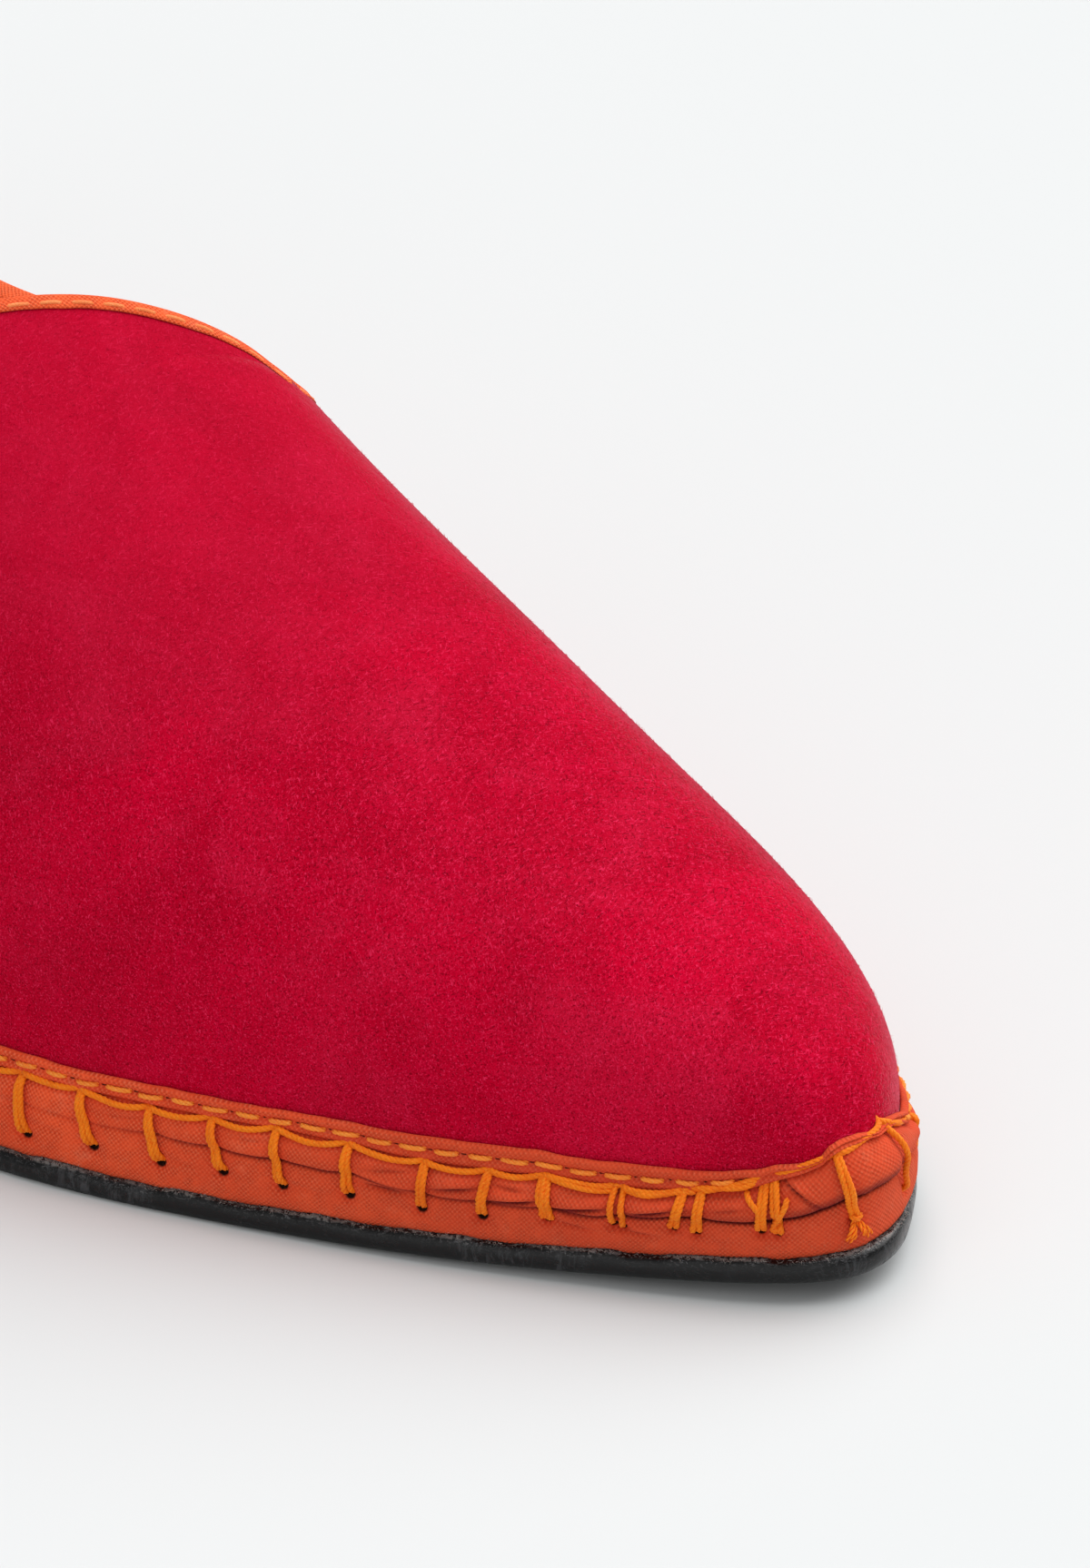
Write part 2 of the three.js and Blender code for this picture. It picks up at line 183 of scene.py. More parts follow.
# Hand stitches round the toe: where each leg starts and ends, how many threads lie in it, how far
# they fan out at its foot, how far it bows, and how far the thread to the next leg sags
LEGS = columns("along_top top along_foot foot threads fan bow sag", [
    [-4.6, 13.2, -7.2, 4.9, 1, 0, 0.3, 0],
    [2.4, 12.5, 1.1, 6.0, 2, 0.4, 0.15, 0],
    [8.2, 10.8, 7.7, 5.2, 2, 0.5, 0, 0],
    [9.0, 10.8, 9.3, 5.4, 2, 0.6, 0, 0.25],
    [14.9, 9.2, 15.3, 5.2, 2, 0.6, 0, 0.05],
    [16.6, 9.1, 17.5, 5.5, 2, 0.6, 0, 0.3],
    [22.4, 9.0, 22.3, 5.4, 1, 0, 0, 0],
    [23.2, 9.0, 23.3, 5.6, 1, 0, 0.1, 0.2],
    [30.0, 9.6, 29.6, 5.6, 3, 0.9, 0.1, 0.4],
    [35.4, 9.5, 36.0, 5.2, 2, 0.6, 0.1, 0.4],
    [41.8, 9.6, 42.0, 5.2, 2, 0.6, -0.1, 0.45],
    [49.4, 10.4, 49.2, 5.5, 2, 0.6, 0.1, 0.55],
    [56.8, 10.7, 56.0, 5.3, 2, 0.6, 0.1, 0.45],
    [63.5, 10.5, 62.1, 5.7, 2, 0.6, 0.1, 0.3],
    [69.9, 10.3, 68.6, 5.3, 2, 0.6, 0.1, 0.35],
    [77.2, 10.6, 75.7, 5.4, 2, 0.6, 0.1, 0.3],
    [83.6, 10.7, 82.9, 4.9, 2, 0.6, 0.15, 0.4],
])
# Loose threads near the tip of the toe: along, height and lift off the cloth
STRAYS = [
    [(9.3, 10.3, 0.5), (10.6, 9.8, 0.75), (13.0, 9.5, 0.6), (15.8, 9.2, 0.6), (16.8, 8.9, 0.3)],
    [(15.4, 8.9, 0.7), (17.2, 8.9, 0.75), (20.0, 8.6, 0.7), (22.6, 8.7, 0.5)],
    [(23.0, 8.5, 0.5), (25.0, 8.7, 0.75), (27.6, 9.0, 0.7), (30.0, 9.2, 0.4)],
    [(10.7, 9.2, 0.1), (10.2, 8.6, 0.5), (9.6, 7.9, 0.6), (9.3, 7.0, 0.3)],
    [(6.9, 9.0, 0.2), (7.0, 8.6, 0.55), (7.5, 7.3, 0.6), (8.1, 5.9, 0.5), (8.3, 5.2, 0.1)],
    [(1.55, 6.25, 0.2), (1.3, 6.05, 0.95), (0.9, 6.0, 0.95), (0.6, 6.2, 0.2)],
]
# Frayed ends under the knot of the long leg at the toe
FRAYED = [
    [(1.15, 6.4, 0.5), (1.3, 5.6, 0.75), (1.6, 4.7, 0.65), (1.8, 3.8, 0.6)],
    [(1.0, 6.4, 0.5), (0.95, 5.6, 0.75), (0.65, 4.7, 0.65), (0.4, 3.9, 0.6)],
]
FRAYED_STRANDS = (-0.2, 0.0, 0.2)  # how far aside each strand of an end goes
FRAYED_SPREAD = np.array([0.1, 0.5, 1.0, 1.5])  # and how much of that at each point
FRAYED_CLIMB = 0.8
FRAYED_PLIES = 2
FRAYED_PITCH = 1.2
FRAYED_SIZE = 0.62  # share of the thread's radius
STRAY_SIZE = 0.9
# Other legs: their pitch, the gap before the measured ones, and the ranges from which they are drawn
LEG_PITCH = 7.0
LEG_GAP = 12.0
LEG_SHIFT = (-0.5, 0.5)
LEG_OVER = 0.2  # top, above the groove
LEG_DROP = (4.7, 5.4)  # foot, below the groove
LEG_LOWEST = 3.9
LEG_LEAN = (0.2, 1.3)
LEG_BOW = (-0.2, 0.2)
LEG_SAG = (0.24, 0.52)
LEG_THREADS = 2
LEG_FAN = 0.6
# Path of a leg, and of the thread to the next leg: share of the way, and lift off the cloth
LEG_PATH = [(-0.05, -0.15), (0.04, 0.5), (0.2, 0.62), (0.4, 0.62), (0.6, 0.6), (0.8, 0.52), (0.95, 0.35),
            (1.04, -0.5)]
LEG_SPACING = ([0, 0.3, 1], [0.35, 0.62, 0.5])  # that share, and its threads' spacing over their width
LEG_TWINE = 1.6  # turn of its threads round each other, in radians
LEG_TWINE_LIFT = 0.12
SWAG_PATH = [(-0.03, 0.1), (0.05, 0.55), (0.25, 0.55), (0.5, 0.5), (0.75, 0.55), (0.95, 0.8), (1.03, 0.5)]
# Other folds: their pitch, the gap before the toe, and ranges for a shift and the rest of the table's row
FOLD_PITCH = 5.6
FOLD_GAP = 8.0
DRAWN_FOLD = [(-1.5, 1.5), (4.8, 9.0), (1.8, 2.8), (0.15, 0.5), (-0.15, 0.15)]
# Thread: its radius, its plies and their pitch, and their place and size as shares of that radius
THREAD = 0.345
PLIES = 3
PLY_PITCH = 1.7
PLY_OFFSET = 0.38
PLY_RADIUS = 0.64
TUBE_ENDS = 0.35  # share of the radius that is left at a tube's ends
HOLE = 0.7  # radius of the hole at a leg's foot
HOLE_AT_TOE = 0.44
HOLE_GROWS = (28.0, 36.0)  # from the toe

# How far the cloth of the sole's side moves: out at its roll and swell, in at crease, groove, leg and hole
ROLL = 0.9
SWELL = 0.14
CREASE = 1.1
TUCK = 0.75
LEG_PULL = 0.4
HOLE_DEPTH = 0.8
# Each layer is drawn in on the medial side of the toe: from where, from where in full, and by what share
DRAWN_IN = {
    "rubber": (-2.0, 13.0, 0.33),
    "cloth": (11.0, 24.0, 0.4),
    "rand": (11.0, 24.0, 0.45),
    "thread": (5.0, 12.0, 0.6),
}
DRAWN_IN_END = (45.0, 80.0)  # where that fades out again

# Rand: share of its height, and how far its outside stands out past the upper
RAND_EDGE = [[-0.12, 0.3], [0.0, 0.7], [0.12, 0.98], [0.26, 1.02], [0.4, 0.85], [0.5, 0.68], [0.6, 0.74],
             [0.72, 0.9], [0.86, 0.92], [0.96, 0.7], [1.0, 0.42], [0.96, 0.15]]
RAND_INSIDE = (0.7, 0.3, -0.1)
RAND_GAP = 0.03  # between its inside and the upper
RAND_LEAST = 0.35  # its least height
RAND_PUFF = 0.12
RAND_SEAM = 0.5  # share of the rand's height at which it is sewn
RAND_SEWN_IN = 0.2  # how deep the seam pulls it in between stitches
RAND_UNSEWN = 11.0  # to each side of the tip of the toe
PINHOLE = 0.2  # radius of a needle hole between stitches

# Machine stitches. A lift is that of the ends, and what the middle has more
DASH_LENGTH = 2.55
DASH_PITCH = 3.35
DASH_RADIUS = 0.28
DASH_LIFT = (0.6, 0.32)
DASH_START = 13.0  # after the tip of the toe
DASH_END = 12.0  # before it, once round
DASH_STRETCH = (0.85, 1.1)
DASH_SHIFT = (-0.1, 0.1)
DASH_TILT = (-0.14, 0.14)
DASH_KNOTS = 9
DASH_STEP = 0.22  # between rings of its plies
DASH_PLY_PITCH = 1.8
COLLAR_DASH_RADIUS = 0.21
COLLAR_DASH_LIFT = (0.26, 0.16)
COLLAR_DASH_SUNK = 0.25

# Section of the tape folded over the collar: down from the collar's edge, and out from the suede
TAPE = [[1.25, 0.04], [1.34, 0.22], [1.22, 0.36], [0.8, 0.4], [0.4, 0.38], [0.0, 0.4], [-0.28, 0.25],
        [-0.42, -0.1], [-0.46, -0.9], [-0.42, -1.7], [-0.28, -2.05], [0.0, -2.2], [0.6, -2.15],
        [1.15, -2.15], [1.3, -2.0], [1.22, -1.85], [0.4, -1.84], [-0.05, -1.84], [-0.05, 0.04], [0.4, 0.04]]
TAPE_SEAM = 0.8  # where it is sewn, down from the edge
TAPE_CORE = 0.1  # nearer to the edge of the suede than this, pressing moves nothing
TAPE_PRESSED = 0.7  # share by which it is flatter at the front of the throat
TAPE_PRESSED_REACH = 9.0
COLLAR_KNOTS = 240  # on each side
COLLAR_STEP = 0.5
COLLAR_LOOK = 0.02  # turn, in radians, that shows which way is down the wall

# Suede: its ground, the ways in which its fibres lie, and the heights between which it gets smoother, from
# the hands that pull the shoe on by its collar
SUEDE_COLOUR = (178, 0, 35)
FIBRE_TURNS = [(0.2, 0.5, 0.3), (-0.4, 0.9, -0.5), (0.7, 0.1, 1.2), (0.1, -0.6, 0.9)]
SMOOTH_FROM = (32.0, 56.0)
SMOOTHEST = 0.4  # share of the roughness that is left
NAP_HAIRS = 34000
NAP_LENGTH = (0.3, 0.75)
NAP_WIDTH = 0.028
NAP_LIE = (-0.6, 0.25, -0.5)  # the way in which the nap was brushed
NAP_SCATTER = 0.55
NAP_STAND = (0.12, 0.5)  # how steeply its hairs stand
NAP_ROOT = 0.03  # depth of their roots
NAP_RUBBED = 0.7  # share of them that is lost where the suede is smoothest
# Fibres at the joint between the cloth and the rubber
FUZZ_FIBRES = 3400
FUZZ_LENGTH = (0.12, 0.55)
FUZZ_WIDTH = 0.017
FUZZ_ROOTS = (1.9, 2.35)
FUZZ_LEVEL = (0.02, 0.12)  # mean and scatter, above the joint
FUZZ_OUT = (0.15, 0.8)
FUZZ_FORWARD = (0, 0.9)
FUZZ_UP = (-0.15, 0.45)
CLOTH_DARK = (194, 50, 28)
CLOTH_LIGHT = (246, 134, 98)
RUBBER_WEAR_AND_HIGHLIGHT = (1.5, 2.4)  # heights between which wear and a painted highlight come in

# Meshes: places round each side of the shoe, rows of the wrap under and over its long fold, and steps of
# the upper behind the throat, before it, and round each side of a section
COLUMNS = 740
WRAP_STEPS = (28, 26)
UPPER_STEPS = (130, 120, 60)
LINING_STEPS = (70, 50, 24)
UV_UNIT = 10.0  # millimetres of cloth in one unit of its map
WELD = 1e-4  # vertices closer than this become one
TINY = 1e-3  # a length that is as good as none

# Stage, in metres. Each light: its strength, how many degrees across it looks, and the way it comes from
FLOOR_REACH = 6.0
FLOOR_COLOUR = (218.67, 220.86, 221.13)
WORLD_STRENGTH = 0.36
LIGHTS = {
    "ceiling": (3.13, 80.0, (0.0, 0.64, 1.0)),
    "front": (0.65, 70.0, (0.5, -0.75, 0.45)),
}

# The photograph's camera, in the part's frame
TARGET = (88.34, 1.2, 42.18)
AZIMUTH = 47.99
ELEVATION = 27.04
DISTANCE = 1202.5
LENS = 292.8
SENSOR = 36.0


# Curves and the last's surface


class Spline:
    """Natural cubic spline through knots in rising order."""

    def __init__(self, knots, values):
        self.knots = np.asarray(knots, float)
        self.values = np.asarray(values, float)
        count = len(self.knots)
        step = np.diff(self.knots)
        slope = np.diff(self.values) / step
        system = np.eye(count)
        change = np.zeros(count)
        for i in range(1, count - 1):
            system[i, i - 1:i + 2] = step[i - 1], 2 * (step[i - 1] + step[i]), step[i]
            change[i] = 6 * (slope[i] - slope[i - 1])
        self.bend = np.linalg.solve(system, change)

    def __call__(self, t):
        i = np.clip(np.searchsorted(self.knots, t, side="right") - 1, 0, len(self.knots) - 2)
        step = self.knots[i + 1] - self.knots[i]
        a = (self.knots[i + 1] - t) / step
        b = 1 - a
        lift = ((a**3 - a) * self.bend[i] + (b**3 - b) * self.bend[i + 1]) * step**2 / 6
        return a * self.values[i] + b * self.values[i + 1] + lift


def smoothstep(t, low, high):
    share = np.clip((t - low) / (high - low), 0, 1)
    return share * share * (3 - 2 * share)


def bell(t, width):
    return np.exp(-((t / width) ** 2))


def unit(vectors):
    return vectors / np.linalg.norm(vectors, axis=-1, keepdims=True)


def pairs(first, second):
    return np.stack(np.broadcast_arrays(first, second), axis=-1)


def run_along(path):
    """How far along a path each of its points lies."""
    return np.concatenate([[0], np.cumsum(np.linalg.norm(np.diff(path, axis=0), axis=1))])


def sampled(at, run, rows, period=None):
    """Rows of numbers that lie along a run, interpolated at other places."""
    return np.stack([np.interp(at, run, column, period=period) for column in rows.T], axis=-1)


def station_at(from_toe):
    return 2 * np.arccos(np.sqrt(np.asarray(from_toe) / FEATHER_LENGTH))


def from_toe_at(station):
    return FEATHER_LENGTH * np.cos(station / 2) ** 2


def spline_along_foot(table, name):
    return Spline(station_at(table["from_toe"])[::-1], table[name][::-1])


half_width = {side: spline_along_foot(SECTIONS, side) for side in ("lateral", "medial")}
ridge = spline_along_foot(SECTIONS, "ridge")
ridge_shift = spline_along_foot(SECTIONS, "shift")
behind_throat = np.sqrt(COLLAR["from_toe"] - THROAT)
collar_degrees = {side: Spline(behind_throat, COLLAR[side]) for side in ("lateral", "medial")}
throat_station = float(station_at(THROAT))

AXIS_X = -FEATHER_LENGTH / 2
axis_stations = np.linspace(0, math.pi, 48, endpoint=False)
AXIS_Y = (half_width["lateral"](axis_stations).max() - half_width["medial"](axis_stations).max()) / 2


def rise(from_toe):
    toe = np.maximum(0, 1 - from_toe / TOE_SPRING_RUN) ** 2
    arch = np.clip((from_toe - ARCH_FRONT) / (ARCH_BACK - ARCH_FRONT), 0, 1)
    return TOE_SPRING * toe + ARCH_RISE * np.sin(math.pi * arch) ** 2


def side_values(lateral, station):
    """Half width past the ridge and fullness of the section's side."""
    sign = np.where(lateral, -1.0, 1.0)
    width = np.where(lateral, half_width["lateral"](station), half_width["medial"](station))
    vamp = np.where(lateral, LATERAL_FULLNESS, MEDIAL_FULLNESS)
    fullness = HEEL_FULLNESS + (vamp - HEEL_FULLNESS) * smoothstep(station, 0, throat_station)
    return width - sign * ridge_shift(station), fullness


def heel_lean(from_heel, height):
    up = (height - FEATHER_HEIGHT) / (HEEL_HEIGHT - FEATHER_HEIGHT)
    fade = np.maximum(0, 1 - from_heel / HEEL_LEAN_RUN) ** 2
    return HEEL_LEAN * up * (up - HEEL_BULGE) * fade / (1 - HEEL_BULGE)


def last_point(station, turn):
    """Points of the upper's outside. Turn 0 is the lateral feather line and pi the medial one."""
    station, turn = np.broadcast_arrays(np.asarray(station, float), np.asarray(turn, float))
    slide = -np.cos(turn)
    share = smoothstep(slide, -RIDGE_BLEND, RIDGE_BLEND)
    half, full = zip(*(side_values(lateral, station) for lateral in (True, False)))
    power = 2 / (full[0] + (full[1] - full[0]) * share)
    rounding = (slide**2 + RIDGE_ROUND**2) / (1 + RIDGE_ROUND**2)
    across = slide * rounding ** ((power - 1) / 2) * (half[0] + (half[1] - half[0]) * share)
    up = np.maximum(0, np.sin(turn)) ** power
    from_toe = from_toe_at(station)
    z = FEATHER_HEIGHT + rise(from_toe) + ridge(station) * up
    from_heel = FEATHER_LENGTH - from_toe
    x = AXIS_X + from_heel + heel_lean(from_heel, z)
    return np.stack([x, AXIS_Y + ridge_shift(station) + across, z], axis=-1)


def wall_end(station, side):
    """The turn at which a side's wall ends: at the collar, or before the throat at the join."""
    behind = np.sqrt(np.maximum(0, from_toe_at(station) - THROAT))
    end = np.radians(collar_degrees[side](np.where(station < throat_station, behind, 0)))
    return end if side == "lateral" else math.pi - end


def surface_height(x, y):
    """Height of the last above the plan, or 0 outside the feather line."""
    from_toe = np.clip(FEATHER_LENGTH - (x - AXIS_X), 0, FEATHER_LENGTH)
    station = station_at(from_toe)
    aside = y - AXIS_Y - ridge_shift(station)
    half, fullness = side_values(aside < 0, station)
    share = np.minimum(np.abs(aside) / np.maximum(half, TINY), 1)
    up = (1 - share**fullness) ** (1 / fullness)
    return np.where(share < 1, FEATHER_HEIGHT + rise(from_toe) + ridge(station) * up, 0)


class FeatherLine:
    """The feather line as a closed curve, with the lengths along it and its outward normals."""

    KNOTS = 6000

    def __init__(self):
        turn = np.linspace(0, 2 * math.pi, self.KNOTS, endpoint=False)
        station = np.abs(math.pi - turn)
        width = np.where(turn < math.pi, -half_width["lateral"](station), half_width["medial"](station))
        from_toe = from_toe_at(station)
        points = pairs(AXIS_X + FEATHER_LENGTH - from_toe, AXIS_Y + width)
        ahead = np.roll(points, -1, axis=0)
        tangent = unit(ahead - np.roll(points, 1, axis=0))
        out = pairs(tangent[:, 1], -tangent[:, 0])
        if out[0, 0] < 0:
            out = -out
        steps = np.linalg.norm(ahead - points, axis=1)
        self.along = np.concatenate([[0], np.cumsum(steps)[:-1]])
        self.length = steps.sum()
        self.lateral_length = self.along[self.KNOTS // 2]
        self.columns = [*points.T, *out.T, from_toe]

    def at(self, along):
        """Plan points, outward normals and distance from the toe."""
        x, y, out_x, out_y, from_toe = (np.interp(along, self.along, column, period=self.length)
                                        for column in self.columns)
        return pairs(x, y), unit(pairs(out_x, out_y)), from_toe

    def even(self, per_side):
        """As many places on each side, from the toe to the heel and back."""
        lateral = np.linspace(0, self.lateral_length, per_side, endpoint=False)
        medial = np.linspace(self.lateral_length, self.length, per_side, endpoint=False)
        return np.concatenate([lateral, medial])

    def signed(self, along):
        """The same place counted from the toe, negative on the medial side."""
        along = np.asarray(along, float) % self.length
        return np.where(along > self.length / 2, along - self.length, along)


line = FeatherLine()


def beside(along, offset, height):
    """Points a given way out from the feather line, above the bent floor line."""
    along, offset, height = np.broadcast_arrays(along, offset, height)
    point, out, from_toe = line.at(along)
    plan = point + out * offset[..., None]
    return np.concatenate([plan, (height + rise(from_toe))[..., None]], axis=-1)


class Inset:
    """How far inside the feather line the upper's surface reaches a height, looked up in a grid."""

    PLACES = 900
    HEIGHTS = np.linspace(FEATHER_HEIGHT, FEATHER_HEIGHT + 8, 17)
    HALVINGS = 22

    def __init__(self):
        point, out, from_toe = line.at(np.linspace(0, line.length, self.PLACES + 1))
        target = self.HEIGHTS + rise(from_toe)[:, None]
        near = np.zeros_like(target)
        far = np.full_like(target, 2 * FEATHER_HEIGHT)
        for _ in range(self.HALVINGS):
            middle = (near + far) / 2
            x, y = (point[:, k, None] - out[:, k, None] * middle for k in (0, 1))
            below = surface_height(x, y) < target
            near = np.where(below, middle, near)
            far = np.where(below, far, middle)
        self.grid = near

    def __call__(self, along, height):
        column = np.asarray(along) % line.length / line.length * self.PLACES
        row = (np.asarray(height) - FEATHER_HEIGHT) / (self.HEIGHTS[1] - self.HEIGHTS[0])
        row = np.clip(row, 0, len(self.HEIGHTS) - 1.001)
        c = np.clip(column.astype(int), 0, self.PLACES - 1)
        r = row.astype(int)
        u = column - c
        v = row - r
        low, high = (self.grid[c, r + k] * (1 - u) + self.grid[c + 1, r + k] * u for k in (0, 1))
        return low * (1 - v) + high * v


inset = Inset()


def band(name, along):
    """A value of the band table at a place round the shoe."""
    return np.interp(line.signed(along), BAND["along"], BAND[name])


class Waves:
    """Smooth, fixed irregularity along a length: a few sines with drawn phases."""

    COUNT = 5

    def __init__(self, seed, longest):
        rng = np.random.default_rng(seed)
        order = np.arange(self.COUNT)
        self.rate = 2 * math.pi / longest * (1 + order * rng.uniform(0.6, 0.9))
        self.phase = rng.uniform(0, 2 * math.pi, self.COUNT)
        self.size = 1 / (1 + order)

    def __call__(self, t):
        t = np.asarray(t, float)[..., None]
        return (np.sin(t * self.rate + self.phase) * self.size).sum(-1) / self.size.sum()


cloth_waves = Waves(SEED + 1, 31.0)
fold_waves = Waves(SEED + 2, 23.0)
edge_waves = Waves(SEED + 3, 17.0)


# Hand stitches and folds: those seen round the toe, and drawn ones for the rest of the way round


def all_legs():
    rng = np.random.default_rng(SEED)
    first = LEGS["along_top"][-1] + LEG_PITCH
    last = line.length + LEGS["along_top"][0] - LEG_GAP
    rows = list(zip(*LEGS.values()))
    for place in np.linspace(first, last, round((last - first) / LEG_PITCH) + 1):
        along = place + rng.uniform(*LEG_SHIFT)
        groove = float(band("groove", along))
        foot = max(LEG_LOWEST, groove - rng.uniform(*LEG_DROP))
        lean = rng.uniform(*LEG_LEAN)
        rows.append((along, groove + LEG_OVER, along - lean, foot, LEG_THREADS, LEG_FAN,
                     rng.uniform(*LEG_BOW), rng.uniform(*LEG_SAG)))
    return columns(" ".join(LEGS), sorted(rows))


def all_folds():
    rng = np.random.default_rng(SEED + 6)
    rows = list(zip(*FOLDS.values()))
    for along in np.arange(FOLDS["along"][-1] + LEG_PITCH, line.length - FOLD_GAP, FOLD_PITCH):
        shift, *others = (rng.uniform(*limits) for limits in DRAWN_FOLD)
        rows.append((along + shift, *others))
    return columns(" ".join(FOLDS), rows)


legs = all_legs()
folds = all_folds()


def bowed(share, start, end, bow):
    """Values on the way from a start to an end, that bow out half way."""
    return start + share * (end - start) + 4 * bow * np.clip(share * (1 - share), 0, 1)


def from_legs(along, height):
    """How deep the legs pull the cloth in at each place, and how near a hole it is, where the cloth is
    painted dark as shade.
    """
    pull = np.zeros(np.broadcast(along, height).shape)
    hole = np.zeros_like(pull)
    for top_at, top, foot_at, foot, _, fan, bow, _ in zip(*legs.values()):
        down = np.clip((top - height) / (top - foot), 0, 1)
        aside = line.signed(along - bowed(down, top_at, foot_at, bow))
        inside = smoothstep(height, foot - 1.2, foot) * smoothstep(-height, -top - 1.0, -top)
        pull += bell(aside, 0.9 + 0.5 * fan) * inside
        away = np.hypot(line.signed(along - foot_at) + 0.1, (height - foot + 0.3) * 1.15)
        size = HOLE_AT_TOE + (HOLE - HOLE_AT_TOE) * smoothstep(abs(line.signed(foot_at)), *HOLE_GROWS)
        hole = np.maximum(hole, bell(away, size))
    return pull, hole


def from_folds(along, height):
    """Lift of the short folds, each a trough under a soft ridge, and how much shade is painted in their
    troughs.
    """
    lift = np.zeros(np.broadcast(along, height).shape)
    dark = np.zeros_like(lift)
    for place, level, reach, depth, climb in zip(*folds.values()):
        aside = line.signed(along - place)
        above = height - level + climb * aside
        near = depth * bell(aside, reach)
        lift += near * (0.7 * bell(above - 0.6, 0.5) - bell(above, 0.26))
        dark += near * bell(above, 0.2)
    return lift, dark


def seam(along):
    """Height of the line on which the cloth meets the rubber."""
    return SEAM_HEIGHT + SEAM_WAVER * edge_waves(along * 1.3)


def toe_trim(along, share):
    """What is left of a layer round the tip of the toe."""
    return 1 - share * np.maximum(0, 1 - line.at(along)[2] / TOE_TRIM_RUN) ** 2


def drawn_in(along, layer):
    """What is left of a layer on the medial side of the toe, where the shoe is drawn in."""
    start, full, share = DRAWN_IN[layer]
    medial = -line.signed(along)
    return 1 - share * smoothstep(medial, start, full) * (1 - smoothstep(medial, *DRAWN_IN_END))


def rubber_trim(along):
    return toe_trim(along, OUTSOLE_TOE_TRIM) * drawn_in(along, "rubber")


def long_fold(along):
    """Height of the fold that runs round the cloth."""
    return band("fold", along) + 0.2 * fold_waves(along)


def crease_at(above):
    """Shape of the long fold's trough: steep under the roll, gentle below."""
    return np.where(above > 0, bell(above, 0.16), 0.65 * bell(above, 0.26) + 0.35 * bell(above, 0.9))


def sole_side(along, height):
    """How far the cloth of the sole's side stands out past the feather line."""
    along, height = np.broadcast_arrays(np.asarray(along, float), np.asarray(height, float))
    base = np.interp(height, CLOTH_EDGE["height"], CLOTH_EDGE["offset"])
    base *= toe_trim(along, MIDSOLE_TOE_TRIM) * drawn_in(along, "cloth")
    groove = band("groove", along)
    fold = long_fold(along)
    roll = bell((height - fold - 0.4 * (groove - fold)) / (groove - fold), 0.42)
    tuck = bell(np.minimum(height - groove, 0), 0.45)
    pull, hole = from_legs(along, height)
    offset = base - inset(along, height) + SWELL * cloth_waves(along + 1.7 * height)
    offset += band("depth", along) * (ROLL * roll - CREASE * crease_at(height - fold))
    return offset + from_folds(along, height)[0] - TUCK * tuck - LEG_PULL * pull - HOLE_DEPTH * hole


def sole_shade(along, height):
    """How much shade is painted on the cloth in its folds and under its long roll, from 0 to 1."""
    above = height - long_fold(along)
    long = band("depth", along) * (1.2 * bell(above, 0.26) + 0.45 * bell(above - 0.6, 0.75))
    return np.clip(long + from_folds(along, height)[1], 0, 1)


# Meshes


class Skin:
    """Gathers vertices and triangles, with a place on the cloth for each vertex."""

    def __init__(self):
        self.vertices = []
        self.triangles = []
        self.places = []
        self.count = 0

    def add(self, vertices, triangles, places=None):
        vertices = np.asarray(vertices, float).reshape(-1, 3)
        self.vertices.append(vertices)
        self.triangles.append(np.asarray(triangles) + self.count)
        self.places.append(np.zeros((len(vertices), 2)) if places is None else places.reshape(-1, 2))
        self.count += len(vertices)

    def arrays(self):
        return tuple(np.concatenate(parts) for parts in (self.vertices, self.triangles, self.places))


def grid(rows, across, close_rows=False, close_across=False):
    """Triangles over a grid of vertices, laid out row by row."""
    i = np.arange(rows if close_rows else rows - 1)
    j = np.arange(across if close_across else across - 1)
    i, j = (g.ravel() for g in np.meshgrid(i, j, indexing="ij"))
    i2 = (i + 1) % rows
    j2 = (j + 1) % across
    a, b, c, d = i * across + j, i * across + j2, i2 * across + j2, i2 * across + j
    return np.concatenate([np.stack([a, b, c], -1), np.stack([a, c, d], -1)])


def weld(vertices, triangles, *others):
    """Joins vertices that share a place, and drops triangles that shrink to nothing."""
    keys = np.round(vertices / WELD).astype(np.int64)
    _, first, index = np.unique(keys, axis=0, return_index=True, return_inverse=True)
    triangles = index.reshape(-1)[triangles]
    a, b, c = triangles.T
    kept = (a != b) & (b != c) & (c != a)
    return (vertices[first], triangles[kept], *(o[first] for o in others))


def outward(vertices, triangles):
    """The triangles of a closed surface, wound so that they face out."""
    a, b, c = vertices[triangles.T]
    volume = np.einsum("ij,ij->i", a, np.cross(b, c)).sum()
    return triangles if volume > 0 else triangles[:, ::-1]


def vertex_normals(vertices, triangles):
    a, b, c = vertices[triangles.T]
    face = np.cross(b - a, c - a)
    normals = np.zeros_like(vertices)
    for k in range(3):
        np.add.at(normals, triangles[:, k], face)
    return unit(normals)


def rim_edges(triangles):
    """Edges that only one triangle has, in the direction in which it has them."""
    edges = np.concatenate([triangles[:, [0, 1]], triangles[:, [1, 2]], triangles[:, [2, 0]]])
    key = np.sort(edges, axis=1)
    _, index, count = np.unique(key, axis=0, return_inverse=True, return_counts=True)
    return edges[count[index.reshape(-1)] == 1]


def shell(vertices, triangles, normals, outer, inner):
    """A closed wall between two depths under an open sheet."""
    count = len(vertices)
    points = np.concatenate([vertices - normals * outer, vertices - normals * inner])
    a, b = rim_edges(triangles).T
    rim = np.concatenate([np.stack([b, a, a + count], -1), np.stack([b, a + count, b + count], -1)])
    return points, np.concatenate([triangles, triangles[:, ::-1] + count, rim])


